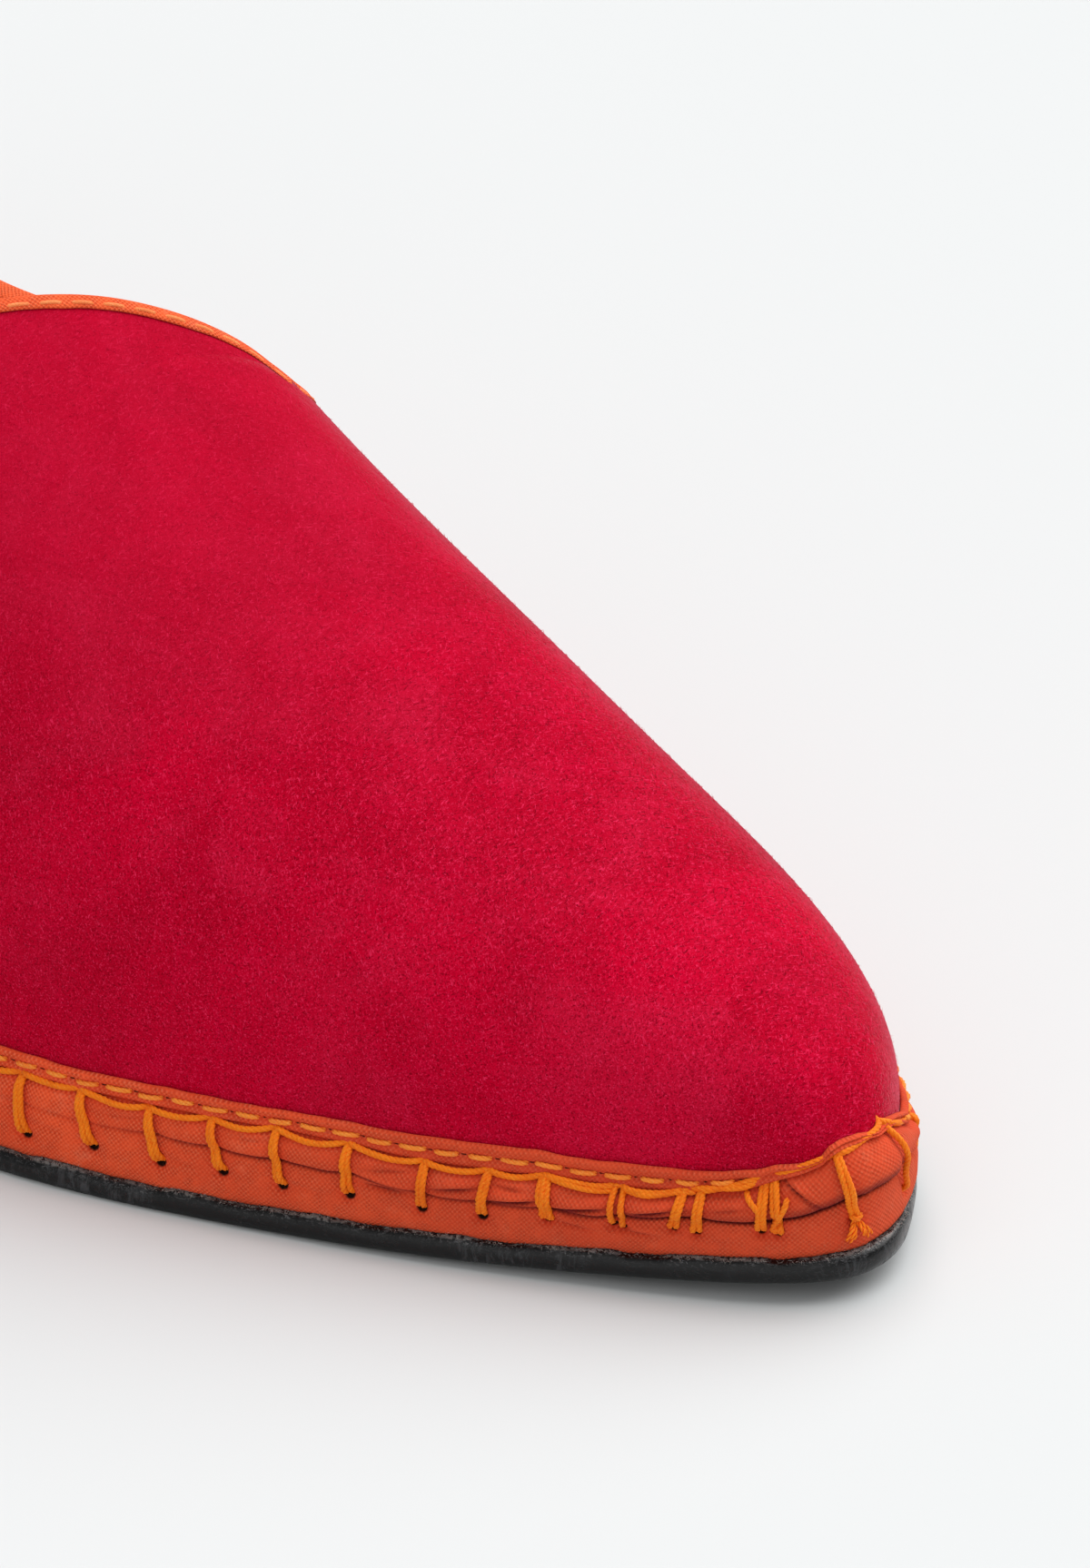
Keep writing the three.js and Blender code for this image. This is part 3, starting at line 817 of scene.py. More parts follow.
def plate(rings, places, across):
    """A plate bounded by closed rings, lowest first, with a grid over its two faces."""
    rings = np.asarray(rings)
    levels, count, _ = rings.shape
    skin = Skin()
    skin.add(rings, grid(levels, count, close_across=True), places)
    half = count // 2
    share = np.linspace(0, 1, across + 1)[:, None]
    for ring, is_top in ((rings[0], False), (rings[-1], True)):
        lateral = ring[:half + 1, None]
        medial = ring[(-np.arange(half + 1)) % count, None]
        face = lateral * (1 - share) + medial * share
        triangles = grid(half + 1, across + 1)
        skin.add(face, triangles[:, ::-1] if is_top else triangles, face[..., :2])
    vertices, triangles, uv = weld(*skin.arrays())
    return vertices, outward(vertices, triangles), uv


def hoop(sections, places):
    """A closed ring through closed sections."""
    rows, across, _ = sections.shape
    vertices = sections.reshape(-1, 3)
    triangles = grid(rows, across, close_rows=True, close_across=True)
    return vertices, outward(vertices, triangles), places.reshape(-1, 2)


def resample(path, step):
    """A smooth path through a few points, with even steps."""
    knots = run_along(path)
    fine = np.linspace(0, knots[-1], max(4, round(knots[-1] / step) + 1))
    return np.stack([Spline(knots, column)(fine) for column in path.T], axis=-1)


def directions_across(path):
    """Two directions across a path at each point, that turn as little as they can."""
    tangent = unit(np.gradient(path, axis=0))
    normal = [unit(np.cross(tangent[0], [0.3, 0.2, 1.0]))]
    for t in tangent[1:]:
        normal.append(unit(normal[-1] - t * normal[-1].dot(t)))
    return np.array(normal), np.cross(tangent, normal)


def tube(skin, path, radius, sides=6, facing=None):
    """Adds a closed tube along a path; it narrows at both ends. Its places hold the run and how far
    each vertex looks to the outside of the thread that the tube lies in."""
    normal, side = directions_across(path)
    count = len(path)
    size = np.full(count, radius)
    size[[0, -1]] *= TUBE_ENDS
    angle = np.linspace(0, 2 * math.pi, sides, endpoint=False)[:, None]
    ring = np.cos(angle) * normal[:, None] + np.sin(angle) * side[:, None]
    points = path[:, None] + ring * size[:, None, None]
    crown = np.ones((count, sides)) if facing is None else np.einsum("ijk,ik->ij", ring, facing)
    places = pairs(run_along(path)[:, None], crown)
    faces = grid(count, sides, close_across=True)
    first_cap = np.stack([np.zeros(sides - 2, int), np.arange(2, sides), np.arange(1, sides - 1)], -1)
    last_cap = first_cap[:, ::-1] + (count - 1) * sides
    skin.add(points, np.concatenate([faces, first_cap, last_cap]), places)


def rope(skin, path, radius, step=0.25, plies=PLIES, pitch=PLY_PITCH, phase=0.0):
    """Adds a thread of plies twisted round a path."""
    path = resample(path, step)
    normal, side = directions_across(path)
    run = run_along(path)
    for ply in range(plies):
        angle = (2 * math.pi * (run / pitch + ply / plies) + phase)[:, None]
        wind = np.cos(angle) * normal + np.sin(angle) * side
        tube(skin, path + wind * radius * PLY_OFFSET, radius * PLY_RADIUS, sides=5, facing=wind)


def spikes(skin, roots, directions, lengths, width):
    """Adds thin three-sided hairs, each closed, from their roots."""
    across = unit(np.cross(directions, [0.31, 0.17, 0.93]))
    third = np.cross(directions, across)
    corners = [roots + width * (math.cos(a) * across + math.sin(a) * third) for a in (0, 2.1, 4.2)]
    points = np.stack([*corners, roots + directions * lengths[:, None]], axis=1)
    first = 4 * np.arange(len(roots))[:, None, None]
    faces = np.array([[0, 2, 1], [0, 1, 3], [1, 2, 3], [2, 0, 3]])
    skin.add(points, (first + faces).reshape(-1, 3))


# Materials


def linear(red, green, blue):
    """Scene colour of a screen colour from 0 to 255."""
    def one(value):
        value /= 255
        return value / 12.92 if value <= 0.04045 else ((value + 0.055) / 1.055) ** 2.4
    return (one(red), one(green), one(blue), 1.0)


class Finish:
    """A material's nodes, with short calls to add and join them, and the shade painted so far."""

    def __init__(self, name, colour, roughness, gloss, sheen=None):
        """A sheen is given by its weight, its roughness and its screen colour."""
        self.material = bpy.data.materials.new(name)
        self.material.use_nodes = True
        self.tree = self.material.node_tree
        self.shader = self.tree.nodes["Principled BSDF"]
        self.shade = linear(*colour)
        self.set(self.shader, {"Roughness": roughness, "Specular IOR Level": gloss})
        if sheen:
            weight, spread, tint = sheen
            self.set(self.shader, {"Sheen Weight": weight, "Sheen Roughness": spread})
            self.set(self.shader, {"Sheen Tint": linear(*tint)})

    def set(self, node, inputs):
        for key, value in inputs.items():
            socket = node.inputs[key]
            if isinstance(value, bpy.types.NodeSocket):
                self.tree.links.new(value, socket)
            else:
                socket.default_value = value

    def add(self, kind, inputs=None, **properties):
        node = self.tree.nodes.new("ShaderNode" + kind)
        for name, value in properties.items():
            setattr(node, name, value)
        self.set(node, inputs or {})
        return node.outputs

    def place(self, scale=(1, 1, 1), turn=(0, 0, 0)):
        """Object coordinates in metres, turned and then drawn out along each axis."""
        where = self.add("TexCoord")["Object"]
        inputs = {"Vector": where, "Scale": scale, "Rotation": turn}
        return self.add("Mapping", inputs, vector_type="TEXTURE")[0]

    def axis(self, vector, number):
        return self.add("SeparateXYZ", {"Vector": vector})[number]

    def cloth_place(self, number):
        """One of the two numbers that give a piece's own place on its cloth, over UV_UNIT."""
        return self.axis(self.add("UVMap", uv_map="cloth")[0], number)

    def attribute(self, name):
        return self.add("Attribute", attribute_name=name)["Fac"]

    def noise(self, size, detail=2.0, roughness=0.5, distortion=0.0, at=None):
        """Noise whose features are about this many millimetres across."""
        inputs = {"Vector": self.place() if at is None else at, "Scale": 1 / (size * MM), "Detail": detail,
                  "Roughness": roughness, "Distortion": distortion}
        return self.add("TexNoise", inputs)["Fac"]

    def ramp(self, value, low, high, start=0.0, end=1.0):
        """Brings part of a value's range to another range."""
        inputs = {"Value": value, "From Min": low, "From Max": high, "To Min": start, "To Max": end}
        return self.add("MapRange", inputs, interpolation_type="SMOOTHSTEP")[0]

    def math(self, operation, a, b=0.0):
        return self.add("Math", {0: a, 1: b}, operation=operation)[0]

    def times(self, a, b):
        return self.math("MULTIPLY", a, b)

    def mix(self, share, a, b):
        return self.add("Mix", {0: share, 6: a, 7: b}, data_type="RGBA")[2]

    def paint(self, share, colour):
        """Lays a screen colour over the shade so far."""
        self.shade = self.mix(share, self.shade, linear(*colour))

    def bump(self, height, depth, **below):
        """Relief of a depth in millimetres, over other relief if that is given as Normal."""
        return self.add("Bump", {"Strength": 1.0, "Distance": depth * MM, "Height": height, **below})[0]

    def done(self, **inputs):
        self.set(self.shader, {"Base Color": self.shade, **inputs})
        return self.material


def suede_finish():
    f = Finish("suede", SUEDE_COLOUR, 0.95, 0.035, (0.95, 0.2, (255, 150, 168)))
    fibres = [f.noise(0.17, detail=1, distortion=0.4, at=f.place((1, 5, 1), turn)) for turn in FIBRE_TURNS]
    raised = f.math("MAXIMUM", f.math("MAXIMUM", *fibres[:2]), f.math("MAXIMUM", *fibres[2:]))
    sunk = f.math("MINIMUM", f.math("MINIMUM", *fibres[:2]), fibres[3])
    brushed = f.noise(30, detail=3, roughness=0.55, distortion=1.2)
    cloud = f.noise(4, detail=4, roughness=0.65, distortion=0.8)
    nap_patches_and_sheen = f.noise(13, detail=3, roughness=0.6, distortion=1.0)
    low, high = SMOOTH_FROM
    rough = f.ramp(f.axis(f.place(), 2), low * MM, high * MM, 1.0, SMOOTHEST)
    f.paint(f.ramp(brushed, 0.36, 0.66), (197, 0, 42))
    f.paint(f.ramp(cloud, 0.5, 0.72, 0.0, 0.4), (206, 4, 54))
    # Patches where the nap lies another way, painted pinker: partly the suede's own tone, partly painted
    # sheen.
    f.paint(f.ramp(nap_patches_and_sheen, 0.4, 0.78, 0.0, 0.42), (204, 28, 64))
    f.paint(f.ramp(rough, SMOOTHEST, 1.0, 0.45, 0.0), (170, 14, 44))
    f.paint(f.times(f.ramp(sunk, 0.24, 0.42, 0.75, 0.0), rough), (110, 0, 15))
    f.paint(f.times(f.ramp(raised, 0.61, 0.8, 0.0, 0.75), rough), (236, 46, 92))
    relief = f.times(f.math("ADD", raised, sunk), rough)
    return f.done(Normal=f.bump(relief, 0.1, Normal=f.bump(cloud, 0.2)))


def nap_finish():
    f = Finish("suede_nap", (194, 0, 40), 0.9, 0.0, (0.2, 0.4, (255, 110, 140)))
    f.paint(f.ramp(f.noise(1.5), 0.35, 0.65), (220, 14, 64))
    return f.done()


def weave(f, pitch):
    """Height of a plain weave over the piece's own cloth places, from -1 to 1."""
    wobble = f.times(f.noise(1.6, detail=3, roughness=0.6), 4.0)
    runs = [f.times(f.cloth_place(axis), math.pi * UV_UNIT / pitch) for axis in (0, 1)]
    return f.times(*(f.math("SINE", f.math("ADD", run, wobble)) for run in runs))


def cloth_finish(name, colour, pitch=0.25, with_painted_shade=False):
    """Plain-woven cloth; the sole's cloth also gets painted shade: darker towards the toe, and dark in its
    holes and folds.
    """
    f = Finish(name, colour, 0.88, 0.1, (0.15, 0.5, (255, 150, 110)))
    threads = f.times(weave(f, pitch), f.ramp(f.noise(1.3), 0.34, 0.66, 0.5, 1.0))
    slub = f.noise(0.5, detail=3, roughness=0.7)
    f.paint(f.ramp(f.noise(7, detail=4, roughness=0.6), 0.34, 0.66, 0.0, 0.35), CLOTH_DARK)
    f.paint(f.ramp(f.noise(3, detail=4, roughness=0.7), 0.54, 0.72, 0.0, 0.35), CLOTH_LIGHT)
    f.paint(f.ramp(threads, -0.9, 0.3, 0.6, 0.0), CLOTH_DARK)
    f.paint(f.ramp(threads, 0.1, 0.9, 0.0, 0.5), CLOTH_LIGHT)
    f.paint(f.ramp(slub, 0.55, 0.8, 0.0, 0.35), CLOTH_LIGHT)
    if with_painted_shade:
        # Painted shade: the cloth is darker towards the toe.
        f.paint(f.ramp(f.axis(f.place(), 0), 0.05, 0.11, 0.0, 0.5), (192, 66, 42))
        # Painted shade in the folds and under the long roll.
        f.paint(f.ramp(f.attribute("fold"), 0.1, 0.75, 0.0, 0.9), (80, 4, 26))
        # Painted shade in the needle holes.
        f.paint(f.ramp(f.attribute("hole"), 0.42, 0.66), (20, 8, 6))
    relief = f.math("ADD", f.times(threads, 0.5), f.times(slub, 0.6))
    return f.done(Normal=f.bump(relief, 0.14))


def thread_finish(name, colour, dark, light):
    """Twisted thread, with shade painted where its plies meet."""
    f = Finish(name, colour, 0.65, 0.2, (0.15, 0.4, (255, 190, 110)))
    fibre = f.noise(0.18, roughness=0.7, distortion=0.8)
    crown = f.times(f.cloth_place(1), UV_UNIT)
    f.paint(f.ramp(f.noise(2, detail=3), 0.4, 0.7, 0.0, 0.35), dark)
    f.paint(f.ramp(fibre, 0.5, 0.68, 0.0, 0.45), light)
    # Painted shade in the grooves between the plies.
    f.paint(f.ramp(crown, -0.3, 0.55, 1.0, 0.0), dark)
    return f.done(Normal=f.bump(fibre, 0.08))


def rubber_finish():
    """Black rubber, scuffed along its side, and pale on its upper edge, partly from wear and partly as a
    painted highlight.
    """
    f = Finish("rubber", (8, 8, 9), 0.22, 0.3)
    grain = f.noise(0.5, detail=4, roughness=0.7)
    streak = f.noise(2.2, detail=4, roughness=0.75, distortion=0.6, at=f.place((0.5, 0.5, 1.6)))
    scuff = f.times(f.ramp(streak, 0.47, 0.7), f.ramp(f.noise(24), 0.38, 0.6))
    nick = f.noise(0.34, detail=3, roughness=0.7, distortion=0.8, at=f.place((1.2, 1.2, 0.5)))
    edge = f.attribute("edge")
    scratch = f.times(f.ramp(nick, 0.53, 0.64), f.ramp(edge, 0.0, 0.7, 0.15, 1.0))
    scratch = f.times(scratch, f.ramp(f.noise(7), 0.4, 0.6, 0.4, 1.0))
    worn_and_highlit = f.times(f.ramp(edge, 0.8, 1.0), f.ramp(grain, 0.42, 0.56))
    f.paint(f.times(scuff, 0.6), (80, 81, 84))
    f.paint(f.times(scratch, 0.4), (140, 140, 142))
    # Pale upper edge: partly wear, partly a painted highlight where the rounded edge would catch the light.
    f.paint(f.times(worn_and_highlit, 0.45), (164, 160, 156))
    return f.done(Roughness=f.ramp(scuff, 0, 1, 0.22, 0.7), Normal=f.bump(grain, 0.05))


def plain_finish(name, colour):
    return Finish(name, colour, 0.9, 0.1).done()


# Pieces


def unwrapped(places):
    """Places of triangles' corners, carried on where a triangle spans the start of the round."""
    places = places.reshape(-1, 3, 2).copy()
    span = np.ptp(places[..., 0], axis=1) > line.length / 2
    near = places[..., 0] < line.length / 2
    places[..., 0] += line.length * (span[:, None] & near)
    return places.reshape(-1, 2)


def show(name, mesh):
    shown = bpy.data.objects.new(name, mesh)
    bpy.context.scene.collection.objects.link(shown)
    return shown


def piece(name, mesh_parts, material, node=None, extra=None):
    """Makes a smooth mesh object that rides on the shoe."""
    vertices, triangles, places = mesh_parts
    mesh = bpy.data.meshes.new(name)
    mesh.from_pydata((vertices * MM).tolist(), [], triangles.tolist())
    corners = np.empty(len(mesh.loops), np.int32)
    mesh.loops.foreach_get("vertex_index", corners)
    uv = mesh.uv_layers.new(name="cloth")
    uv.data.foreach_set("uv", unwrapped(places[corners]).astype(np.float32).ravel() / UV_UNIT)
    for key, values in (extra or {}).items():
        layer = mesh.attributes.new(key, "FLOAT", "POINT")
        layer.data.foreach_set("value", np.asarray(values, np.float32))
    mesh.polygons.foreach_set("use_smooth", np.ones(len(mesh.polygons), bool))
    mesh.materials.append(material)
    mesh.update()
    shown = show(name, mesh)
    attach(shown, "root")
    if node:
        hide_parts(node)


def make_outsole(material):
    along = line.even(COLUMNS // 2)
    trim = rubber_trim(along)
    waver = 0.08 * edge_waves(along * 1.7)
    stretch = (seam(along) - 0.04) / RUBBER_EDGE[-1][0]
    rings = []
    for height, offset in RUBBER_EDGE:
        rings.append(beside(along, (offset + waver * (height > 1)) * trim, height * stretch))
    places = np.stack([pairs(along, height) for height, _ in RUBBER_EDGE])
    vertices, triangles, uv = plate(rings, places, across=24)
    height = vertices[:, 2] - rise(FEATHER_LENGTH - (vertices[:, 0] - AXIS_X))
    extra = {"edge": smoothstep(height, *RUBBER_WEAR_AND_HIGHLIGHT)}
    piece("rubber_outsole", (vertices, triangles, uv), material, "outsole", extra)


def near_values(vertices, rings, values):
    """Values given on rings of points, carried to the welded vertices in the same places."""
    keys = {tuple(k): v for k, v in zip(np.round(np.concatenate(rings) / TINY).astype(int), values)}
    return [keys.get(tuple(k), 0.0) for k in np.round(vertices / TINY).astype(int)]


def make_sole_wrap(material):
    along = line.even(COLUMNS)
    groove = band("groove", along)
    low = seam(along)
    fold = long_fold(along)
    under_fold, over_fold = WRAP_STEPS
    left = np.linspace(1, 0, under_fold, endpoint=False)[:, None]
    climb = np.linspace(0, 1, over_fold)[:, None]
    heights = np.concatenate([fold - (fold - low) * left**1.5, fold + (groove - fold) * climb**1.3])
    under = beside(along, 0.6, low)
    lip = beside(along, 0.2 - inset(along, groove), groove - 0.1)
    inside = beside(along, -0.6, FEATHER_HEIGHT - 0.2)
    rings = [under, *(beside(along, sole_side(along, h), h) for h in heights), lip, inside]
    run = np.concatenate([low[None] - 1, heights, groove[None] + 0.6, groove[None] + 2.0])
    parts = plate(rings, pairs(along, run), across=4)
    bare = np.zeros(len(along))
    holes = [from_legs(along, h)[1] for h in heights]
    shades = [sole_shade(along, h) for h in heights]
    extra = {}
    for name, values in (("hole", holes), ("fold", shades)):
        extra[name] = near_values(parts[0], rings, np.concatenate([bare, *values, bare, bare]))
    piece("sole_wrap", parts, material, "midsole", extra)


def rand_heights(along):
    """Heights of the rand's foot and of its upper edge."""
    groove = band("groove", along)
    top = band("top", along) + 0.16 * edge_waves(along) + 0.08 * cloth_waves(along * 3.1)
    return groove, np.maximum(top, groove + RAND_LEAST)


def dash_places():
    """Middles of the machine stitches on the rand."""
    return np.arange(DASH_START, line.length - DASH_END, DASH_PITCH)


def make_rand(material):
    along = line.even(COLUMNS)
    groove, top = rand_heights(along)
    phase = 2 * math.pi * (along - dash_places()[0]) / DASH_PITCH
    between = (1 - np.cos(phase)) / 2
    puff = RAND_PUFF * cloth_waves(along * 2.1)
    rows = []
    places = []
    holes = []

    def add(share, stand, hole):
        height = groove + share * (top - groove)
        rows.append(beside(along, stand - inset(along, height), height))
        places.append(pairs(along, height))
        holes.append(hole)

    for share, offset in RAND_EDGE:
        from_seam = (share - RAND_SEAM) * (top - groove)
        sewn_in = RAND_SEWN_IN * bell(from_seam, 0.35) * between
        stand = (offset + puff * (offset > 0.5) - sewn_in) * drawn_in(along, "rand")
        # Needle holes between the stitches are only painted: dark spots of shade.
        add(share, stand, bell(from_seam, PINHOLE) * smoothstep(between, 0.75, 1.0))
    for share in RAND_INSIDE:
        add(share, RAND_GAP, np.zeros_like(along))
    parts = hoop(np.stack(rows, axis=1), np.stack(places, axis=1))
    sewn = np.abs(line.signed(along)) > RAND_UNSEWN
    hole = (np.stack(holes, axis=1) * sewn[:, None]).ravel()
    extra = {"hole": 0.7 * hole, "fold": np.zeros_like(hole)}
    piece("rand_strip", parts, material, "rand", extra)


def toward_throat(steps):
    """Stations from the heel to the throat, closer together near the throat."""
    left = 1 - np.arange(steps) / steps
    return throat_station * (1 - left * left)


def upper_sheet(behind_steps, before_steps, section_steps):
    """The upper's outside as one open, welded sheet."""
    before = np.linspace(throat_station, math.pi, before_steps + 1)
    stations = np.concatenate([toward_throat(behind_steps), before])
    skin = Skin()
    share = np.linspace(0, 1, section_steps + 1)[:, None]
    for side, foot, order in (("lateral", 0.0, 1), ("medial", math.pi, -1)):
        turns = foot + share * (wall_end(stations, side) - foot)
        points = last_point(stations, turns)
        places = pairs(points[:1, :, 0], points[..., 2])
        skin.add(points, grid(*turns.shape)[:, ::order], places)
    vertices, triangles, places = weld(*skin.arrays())
    normals = vertex_normals(vertices, triangles)
    if (normals[:, 2] * (vertices[:, 2] > 40)).sum() < 0:
        triangles = triangles[:, ::-1]
        normals = -normals
    return vertices, triangles, normals, places


def make_upper(suede, lining):
    sheet = upper_sheet(*UPPER_STEPS)
    outside = shell(*sheet[:3], 0.0, SUEDE)
    piece("suede_upper", (*outside, np.tile(sheet[3], (2, 1))), suede, "upper")
    inner = upper_sheet(*LINING_STEPS)
    inside = shell(*inner[:3], SUEDE + LINING_GAP, WALL)
    piece("lining", (*inside, np.tile(inner[3], (2, 1))), lining)
    return sheet


def make_nap(sheet, material):
    """Fine hairs of the suede, lying mostly one way."""
    rng = np.random.default_rng(SEED + 8)
    vertices, triangles, normals, _ = sheet
    a, b, c = vertices[triangles.T]
    area = np.linalg.norm(np.cross(b - a, c - a), axis=1)
    weight = area * (1 - NAP_RUBBED * smoothstep(a[:, 2], *SMOOTH_FROM))
    pick = rng.choice(len(triangles), NAP_HAIRS, p=weight / weight.sum())
    u = np.sqrt(rng.random(NAP_HAIRS))[:, None]
    v = rng.random(NAP_HAIRS)[:, None]
    roots = a[pick] * (1 - u) + b[pick] * u * (1 - v) + c[pick] * u * v
    normal = normals[triangles[pick, 0]]
    lie = np.array(NAP_LIE) + rng.normal(0, NAP_SCATTER, (NAP_HAIRS, 3))
    lie = unit(lie - normal * np.einsum("ij,ij->i", lie, normal)[:, None])
    direction = unit(lie + normal * rng.uniform(*NAP_STAND, NAP_HAIRS)[:, None])
    lengths = rng.uniform(*NAP_LENGTH, NAP_HAIRS)
    skin = Skin()
    spikes(skin, roots - normal * NAP_ROOT, direction, lengths, NAP_WIDTH)
    piece("suede_nap", skin.arrays(), material)


def make_insole(material):
    along = line.even(300)
    rings = []
    for above, back in INSOLE_EDGE:
        height = FEATHER_HEIGHT + above
        rings.append(beside(along, -inset(along, height) - WALL - INSOLE_CLEARANCE - back, height))
    places = np.stack([pairs(along, k) for k in range(len(rings))])
    piece("insole_cloth", plate(rings, places, across=40), material, "insole")


def collar_loop(step):
    """The collar's edge with even steps, its outward normals and the way down along the wall."""
    stations = np.append(toward_throat(COLLAR_KNOTS), throat_station)
    rows = []
    for side, inward in (("lateral", COLLAR_LOOK), ("medial", -COLLAR_LOOK)):
        end = wall_end(stations, side)
        rows.append((last_point(stations, end), last_point(stations, end - inward)))
    edge, below = (np.concatenate([lateral, medial[::-1][1:-1]]) for lateral, medial in zip(*rows))
    closed = [np.concatenate([values, values[:1]]) for values in (edge, below)]
    run = run_along(closed[0])
    even = np.linspace(0, run[-1], round(run[-1] / step), endpoint=False)
    edge, below = (sampled(even, run, values) for values in closed)
    tangent = unit(np.roll(edge, -1, axis=0) - np.roll(edge, 1, axis=0))
    down = below - edge
    down = unit(down - tangent * np.einsum("ij,ij->i", down, tangent)[:, None])
    out = np.cross(down, tangent)
    centre = np.array([edge[:, 0].mean(), edge[:, 1].mean(), 0])
    if (out * (edge - centre)).sum() < 0:
        out = -out
    return edge, out, down, even


def arched(t, start, rise_by):
    """Lift of a machine stitch: it rises to its middle."""
    return start + rise_by * np.sin(math.pi * t)


def tape_standing(edge, run):
    """How far the tape stands up, from 0 to 1. It is pressed flat at the front of the throat."""
    front = run[np.argmax(edge[:, 0])]
    total = run[-1] + run[1]
    away = (run - front + total / 2) % total - total / 2
    return 1 - TAPE_PRESSED * bell(away, TAPE_PRESSED_REACH)


def make_binding(material, thread):
    edge, out, down, run = collar_loop(COLLAR_STEP)
    standing = tape_standing(edge, run)
    waver = 0.08 * edge_waves(run * 1.3)
    rows = []
    for drop, stand in TAPE:
        lower = drop * standing if drop < -TAPE_CORE else drop + waver * (drop > 1)
        outward = stand * standing if stand > TAPE_CORE else np.full_like(run, stand)
        rows.append(edge + down * lower[:, None] + out * outward[:, None])
    sections = np.stack(rows, axis=1)
    places = pairs(run[:, None], run_along(TAPE))
    piece("collar_tape", hoop(sections, places), material, "collar_binding")
    skin = Skin()
    total = run[-1] + run[1]
    sunk = COLLAR_DASH_SUNK * (1 - standing)
    foot = edge + down * TAPE_SEAM - out * sunk[:, None]
    rise_per_lift = out * standing[:, None]
    t = np.linspace(0, 1, DASH_KNOTS)
    for k in range(int(total / DASH_PITCH)):
        at = k * DASH_PITCH + t * DASH_LENGTH
        low, up = (sampled(at, run, values, total) for values in (foot, rise_per_lift))
        tube(skin, low + up * arched(t, *COLLAR_DASH_LIFT)[:, None], COLLAR_DASH_RADIUS)
    piece("collar_stitches", skin.arrays(), thread)


def make_machine_stitches(thread):
    rng = np.random.default_rng(SEED + 4)
    skin = Skin()
    t = np.linspace(0, 1, DASH_KNOTS)
    for place in dash_places():
        along = place + (t - 0.5) * DASH_LENGTH * rng.uniform(*DASH_STRETCH)
        groove, top = rand_heights(along)
        tilt = rng.uniform(*DASH_SHIFT) + rng.uniform(*DASH_TILT) * (t - 0.5)
        height = groove + RAND_SEAM * (top - groove) + tilt
        lift = arched(t, *DASH_LIFT) - inset(along, height)
        rope(skin, beside(along, lift, height), DASH_RADIUS, step=DASH_STEP, pitch=DASH_PLY_PITCH)
    piece("rand_stitches", skin.arrays(), thread)


def on_side(along, height, lift):
    """Points on the cloth of the sole's side, a given way off it."""
    return beside(along, sole_side(along, height) + lift * drawn_in(along, "thread"), height)


def make_hand_stitches(thread):
    rng = np.random.default_rng(SEED + 5)

    def any_phase():
        return rng.uniform(0, 2 * math.pi)

    skin = Skin()
    down, lift = np.array(LEG_PATH).T
    for top_at, top, foot_at, foot, threads, fan, bow, _ in zip(*legs.values()):
        phase = any_phase()
        middle = bowed(down, top_at, foot_at, bow)
        wide = np.interp(down, *LEG_SPACING) * THREAD * 2
        for k in range(int(threads)):
            twine = phase + 2 * math.pi * k / threads + LEG_TWINE * down
            aside = (k - (threads - 1) / 2) * np.maximum(wide, fan / max(threads - 1, 1) * down)
            off = lift + LEG_TWINE_LIFT * np.sin(twine)
            path = on_side(middle + aside, top + down * (foot - top), off)
            rope(skin, path, THREAD, phase=phase + k)
    piece("stitch_legs", skin.arrays(), thread)
    skin = Skin()
    across, lift = np.array(SWAG_PATH).T
    starts, tops = legs["along_top"], legs["top"]
    ends = np.append(starts[1:], starts[0] + line.length)
    for start, end, top, after, sag in zip(starts, ends, tops, np.roll(tops, -1), legs["sag"]):
        path = on_side(start + across * (end - start), bowed(across, top, after, -sag), lift)
        rope(skin, path, THREAD, phase=any_phase())
    for stray in STRAYS:
        rope(skin, on_side(*np.array(stray).T), THREAD * STRAY_SIZE, phase=any_phase())
    for end in FRAYED:
        along, height, lift = np.array(end).T
        for strand in FRAYED_STRANDS:
            aside = strand * FRAYED_SPREAD
            path = on_side(along + aside, height + FRAYED_CLIMB * abs(aside), lift)
            rope(skin, path, THREAD * FRAYED_SIZE, plies=FRAYED_PLIES, pitch=FRAYED_PITCH,
                 phase=any_phase())
    piece("stitch_swags", skin.arrays(), thread)


def make_fuzz(material):
    """Pale fibres that stand out of the joint between the cloth and the rubber."""
    rng = np.random.default_rng(SEED + 9)
    along = rng.uniform(0, line.length, FUZZ_FIBRES)
    height = seam(along) + rng.normal(*FUZZ_LEVEL, FUZZ_FIBRES)
    roots = beside(along, rng.uniform(*FUZZ_ROOTS, FUZZ_FIBRES) * rubber_trim(along), height)
    _, out, _ = line.at(along)
    forward = pairs(-out[:, 1], out[:, 0]) * rng.normal(*FUZZ_FORWARD, FUZZ_FIBRES)[:, None]
    flat = out * rng.uniform(*FUZZ_OUT, FUZZ_FIBRES)[:, None] + forward
    direction = unit(np.column_stack([flat, rng.normal(*FUZZ_UP, FUZZ_FIBRES)]))
    skin = Skin()
    spikes(skin, roots, direction, rng.uniform(*FUZZ_LENGTH, FUZZ_FIBRES), FUZZ_WIDTH)
    piece("edge_fuzz", skin.arrays(), material)


# Stage, light and camera


def set_stage():
    mesh = bpy.data.meshes.new("floor")
    corners = [(x * FLOOR_REACH, y * FLOOR_REACH, 0) for x, y in ((-1, -1), (1, -1), (1, 1), (-1, 1))]
    mesh.from_pydata(corners, [], [(0, 1, 2, 3)])
    mesh.materials.append(plain_finish("floor", FLOOR_COLOUR))
    floor = show("floor", mesh)


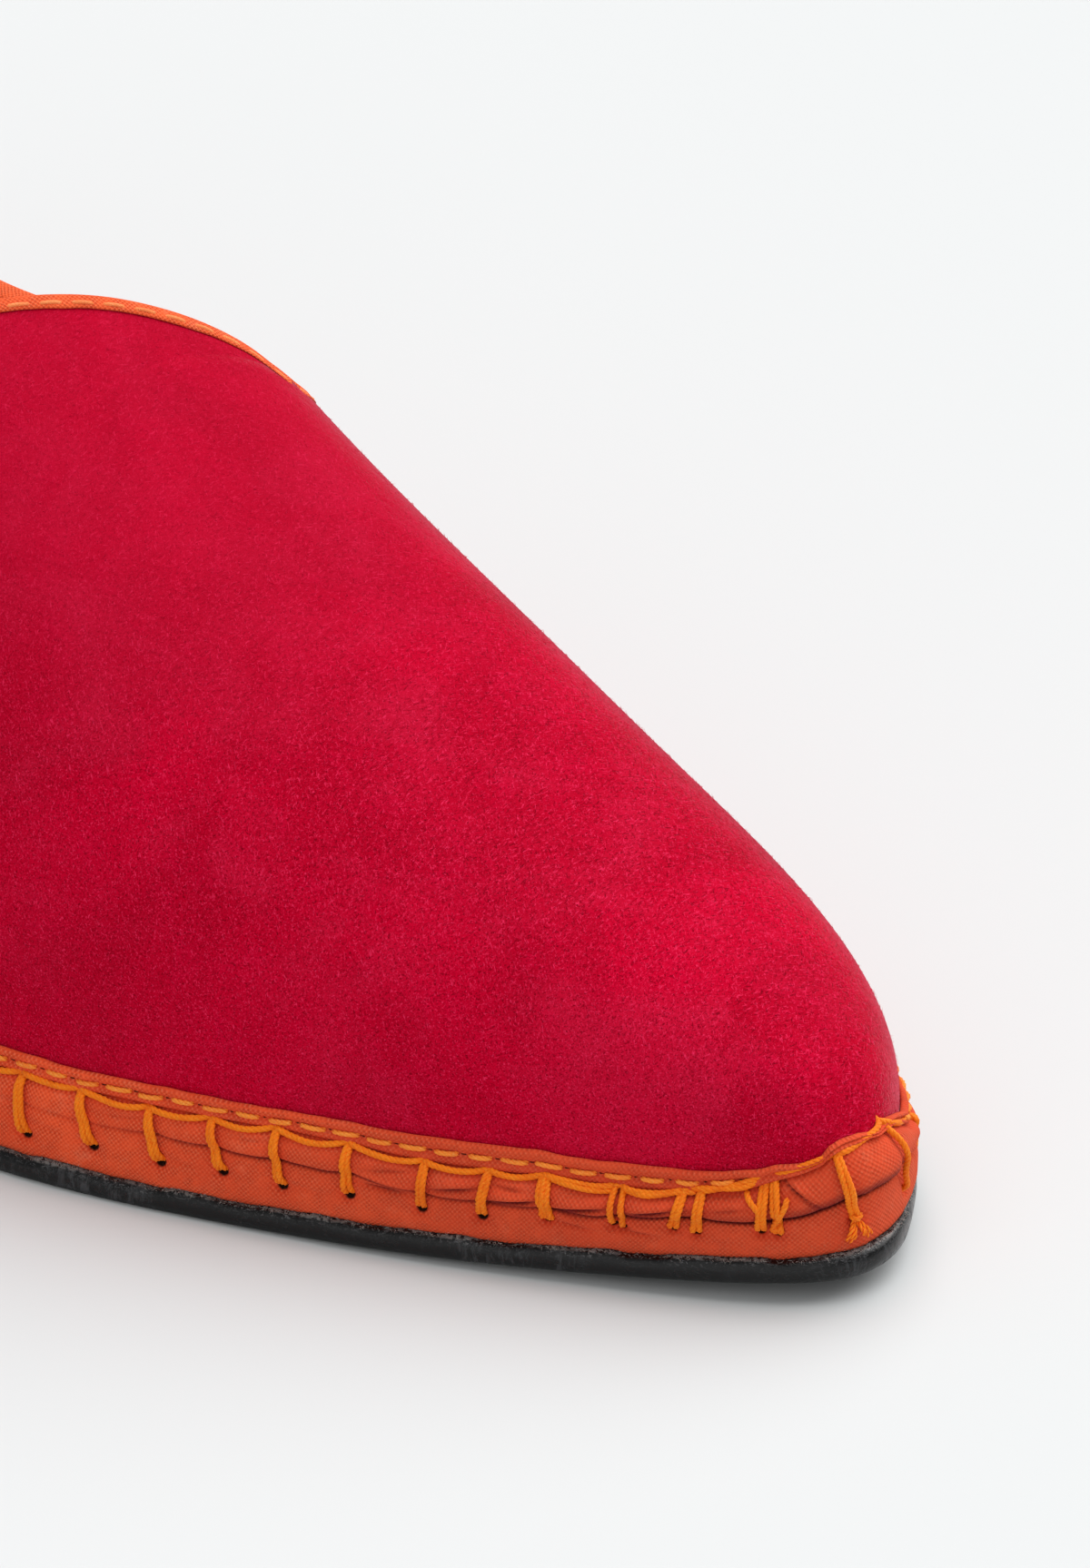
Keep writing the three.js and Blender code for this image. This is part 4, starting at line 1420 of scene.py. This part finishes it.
def set_light():
    world = bpy.data.worlds.new("studio")
    world.use_nodes = True
    background = world.node_tree.nodes["Background"]
    background.inputs["Color"].default_value = (1, 1, 1, 1)
    background.inputs["Strength"].default_value = WORLD_STRENGTH
    bpy.context.scene.world = world
    for name, (strength, width, source) in LIGHTS.items():
        lamp = bpy.data.lights.new(name, "SUN")
        lamp.energy = strength
        lamp.angle = math.radians(width)
        show(name, lamp).rotation_euler = (-Vector(source)).to_track_quat("-Z", "Y").to_euler()
    bpy.context.scene.view_settings.view_transform = "Standard"


def set_camera():
    azimuth, elevation = math.radians(AZIMUTH), math.radians(ELEVATION)
    level = math.cos(elevation)
    back = Vector((math.sin(azimuth) * level, -math.cos(azimuth) * level, math.sin(elevation)))
    right = Vector((math.cos(azimuth), math.sin(azimuth), 0))
    turn = Matrix((right, back.cross(right), back)).transposed().to_4x4()
    lens = bpy.data.cameras.new("camera")
    lens.sensor_fit = "VERTICAL"
    lens.sensor_height = SENSOR
    lens.lens = LENS
    camera = show("camera", lens)
    camera.matrix_world = Matrix.Translation((Vector(TARGET) + back * DISTANCE) * MM) @ turn
    bpy.context.scene.camera = camera


set_camera()
set_stage()
set_light()
side_cloth = cloth_finish("sole_cloth", (250, 94, 52), with_painted_shade=True)
inner_cloth = cloth_finish("lining_cloth", (232, 78, 38), pitch=0.4)
tape_cloth = cloth_finish("tape_cloth", (250, 106, 58))
marigold = thread_finish("marigold_thread", (250, 128, 10), (228, 72, 4), (255, 170, 58))
peach = thread_finish("peach_thread", (255, 148, 50), (240, 92, 26), (255, 190, 108))
coral = thread_finish("coral_thread", (255, 142, 78), (242, 100, 48), (255, 188, 134))
make_outsole(rubber_finish())
make_sole_wrap(side_cloth)
make_rand(side_cloth)
upper = make_upper(suede_finish(), inner_cloth)
make_nap(upper, nap_finish())
make_insole(inner_cloth)
make_binding(tape_cloth, coral)
make_machine_stitches(peach)
make_hand_stitches(marigold)
make_fuzz(plain_finish("pale_fibre", (206, 198, 190)))
